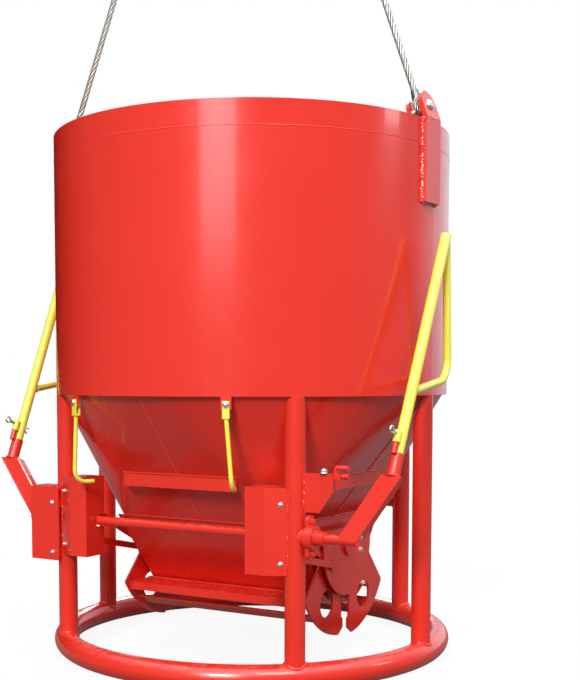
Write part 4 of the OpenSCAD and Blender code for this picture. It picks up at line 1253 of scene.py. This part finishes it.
def lamp(name, place_at, aim, size, power, colour):
    deselect()
    bpy.ops.object.light_add(type="AREA", location=place_at)
    light = bpy.context.object
    light.name = name
    light.rotation_euler = (Vector(aim) - Vector(place_at)).to_track_quat("-Z", "Y").to_euler()
    light.data.size = size
    light.data.energy = power
    light.data.color = colour


BRIGHT_SIDE = (0.13, 0.94, 0.31)
BRIGHT_SIDE_EDGE = (0.72, 0.97)
BRIGHT_SIDE_STRENGTH = 1.25
BRIGHT_ABOVE = (0.1, -0.1, 0.99)
BRIGHT_ABOVE_EDGE = (0.5, 0.9)
BRIGHT_ABOVE_STRENGTH = 3.4
DARK_SIDE = (-0.857, 0.515, 0.0)
DARK_SIDE_EDGE = (0.1, 0.9)
MIRRORED_STRENGTH = 0.35
SOFT_EDGE = (-0.2, 0.9)
SOFT_STRENGTHS = (0.36, 1.0)
SKY_TINT = (0.86, 0.91, 1.0, 1)
STRIP_AHEAD = (0.225, -0.974, 0.0)
STRIP_AHEAD_EDGE = (0.3, 0.5)
STRIP_ACROSS = (0.974, 0.225, 0.0)
STRIP_EDGE = (0.185, 0.155)
STRIP_FOOT = (0.07, 0.16)
STRIP_STRENGTH = 5.0


def along_side(tree, place, side):
    aim = add_node(tree, "ShaderNodeVectorMath", operation="DOT_PRODUCT")
    tree.links.new(place, aim.inputs[0])
    aim.inputs[1].default_value = side
    return aim.outputs["Value"]


def facing_share(tree, place, side, edge, to_low, to_high):
    return ramp_on(tree, along_side(tree, place, side), *edge, to_low, to_high)


# An upright strip of light in front, above eye level, that glossy paint mirrors as a band
def mirrored_strip(tree, place):
    across = math_on(tree, "ABSOLUTE", along_side(tree, place, STRIP_ACROSS), 0.0)
    inside = ramp_on(tree, across, *STRIP_EDGE, 0.0, STRIP_STRENGTH)
    ahead = facing_share(tree, place, STRIP_AHEAD, STRIP_AHEAD_EDGE, 0.0, 1.0)
    above = facing_share(tree, place, AXIS_Z, STRIP_FOOT, 0.0, 1.0)
    return math_on(tree, "MULTIPLY", inside, math_on(tree, "MULTIPLY", ahead, above))


# White to the eye; mirrored and as soft light it is brighter above and behind than on the left
def set_world():
    world = bpy.data.worlds.new("studio")
    bpy.context.scene.world = world
    world.use_nodes = True
    tree = world.node_tree
    back = tree.nodes["Background"]
    path = add_node(tree, "ShaderNodeLightPath")
    tree.links.new(mix_on(tree, path.outputs["Is Glossy Ray"], WHITE, SKY_TINT), back.inputs["Color"])
    place = add_node(tree, "ShaderNodeTexCoord").outputs["Generated"]
    behind = facing_share(tree, place, BRIGHT_SIDE, BRIGHT_SIDE_EDGE, 0.0, BRIGHT_SIDE_STRENGTH)
    above = facing_share(tree, place, BRIGHT_ABOVE, BRIGHT_ABOVE_EDGE, 0.0, BRIGHT_ABOVE_STRENGTH)
    bright = math_on(tree, "MAXIMUM", behind, above)
    dim = facing_share(tree, place, DARK_SIDE, DARK_SIDE_EDGE, MIRRORED_STRENGTH, 0.0)
    bright = math_on(tree, "MAXIMUM", bright, mirrored_strip(tree, place))
    gloss = math_on(tree, "MULTIPLY", math_on(tree, "MAXIMUM", bright, dim), path.outputs["Is Glossy Ray"])
    soft = facing_share(tree, place, BRIGHT_SIDE, SOFT_EDGE, *SOFT_STRENGTHS)
    soft = math_on(tree, "MULTIPLY", soft, path.outputs["Is Diffuse Ray"])
    seen = math_on(tree, "ADD", path.outputs["Is Camera Ray"], path.outputs["Is Transmission Ray"])
    strength = math_on(tree, "MAXIMUM", seen, math_on(tree, "ADD", gloss, soft))
    tree.links.new(strength, back.inputs["Strength"])


stage_floor()
set_world()
lamp("key_front", place_at=(4.5, -19.4, 12.2), aim=(0, 0, 0.8), size=4.2, power=4200,
     colour=(1.0, 0.97, 0.92))
lamp("high_right", place_at=(10.0, -9.0, 15.0), aim=(0, 0, 1.0), size=6.0, power=1150,
     colour=(0.97, 0.98, 1.0))
lamp("edge_right", place_at=(7.2, 2.9, 4.2), aim=(0, 0, 1.2), size=1.5, power=50,
     colour=(0.94, 0.97, 1.0))
lamp("fill_behind", place_at=(-8.0, 12.5, 9.0), aim=(0, 0, 1.0), size=5.0, power=1300,
     colour=(1.0, 0.98, 0.95))
bpy.context.scene.view_settings.view_transform = "Standard"
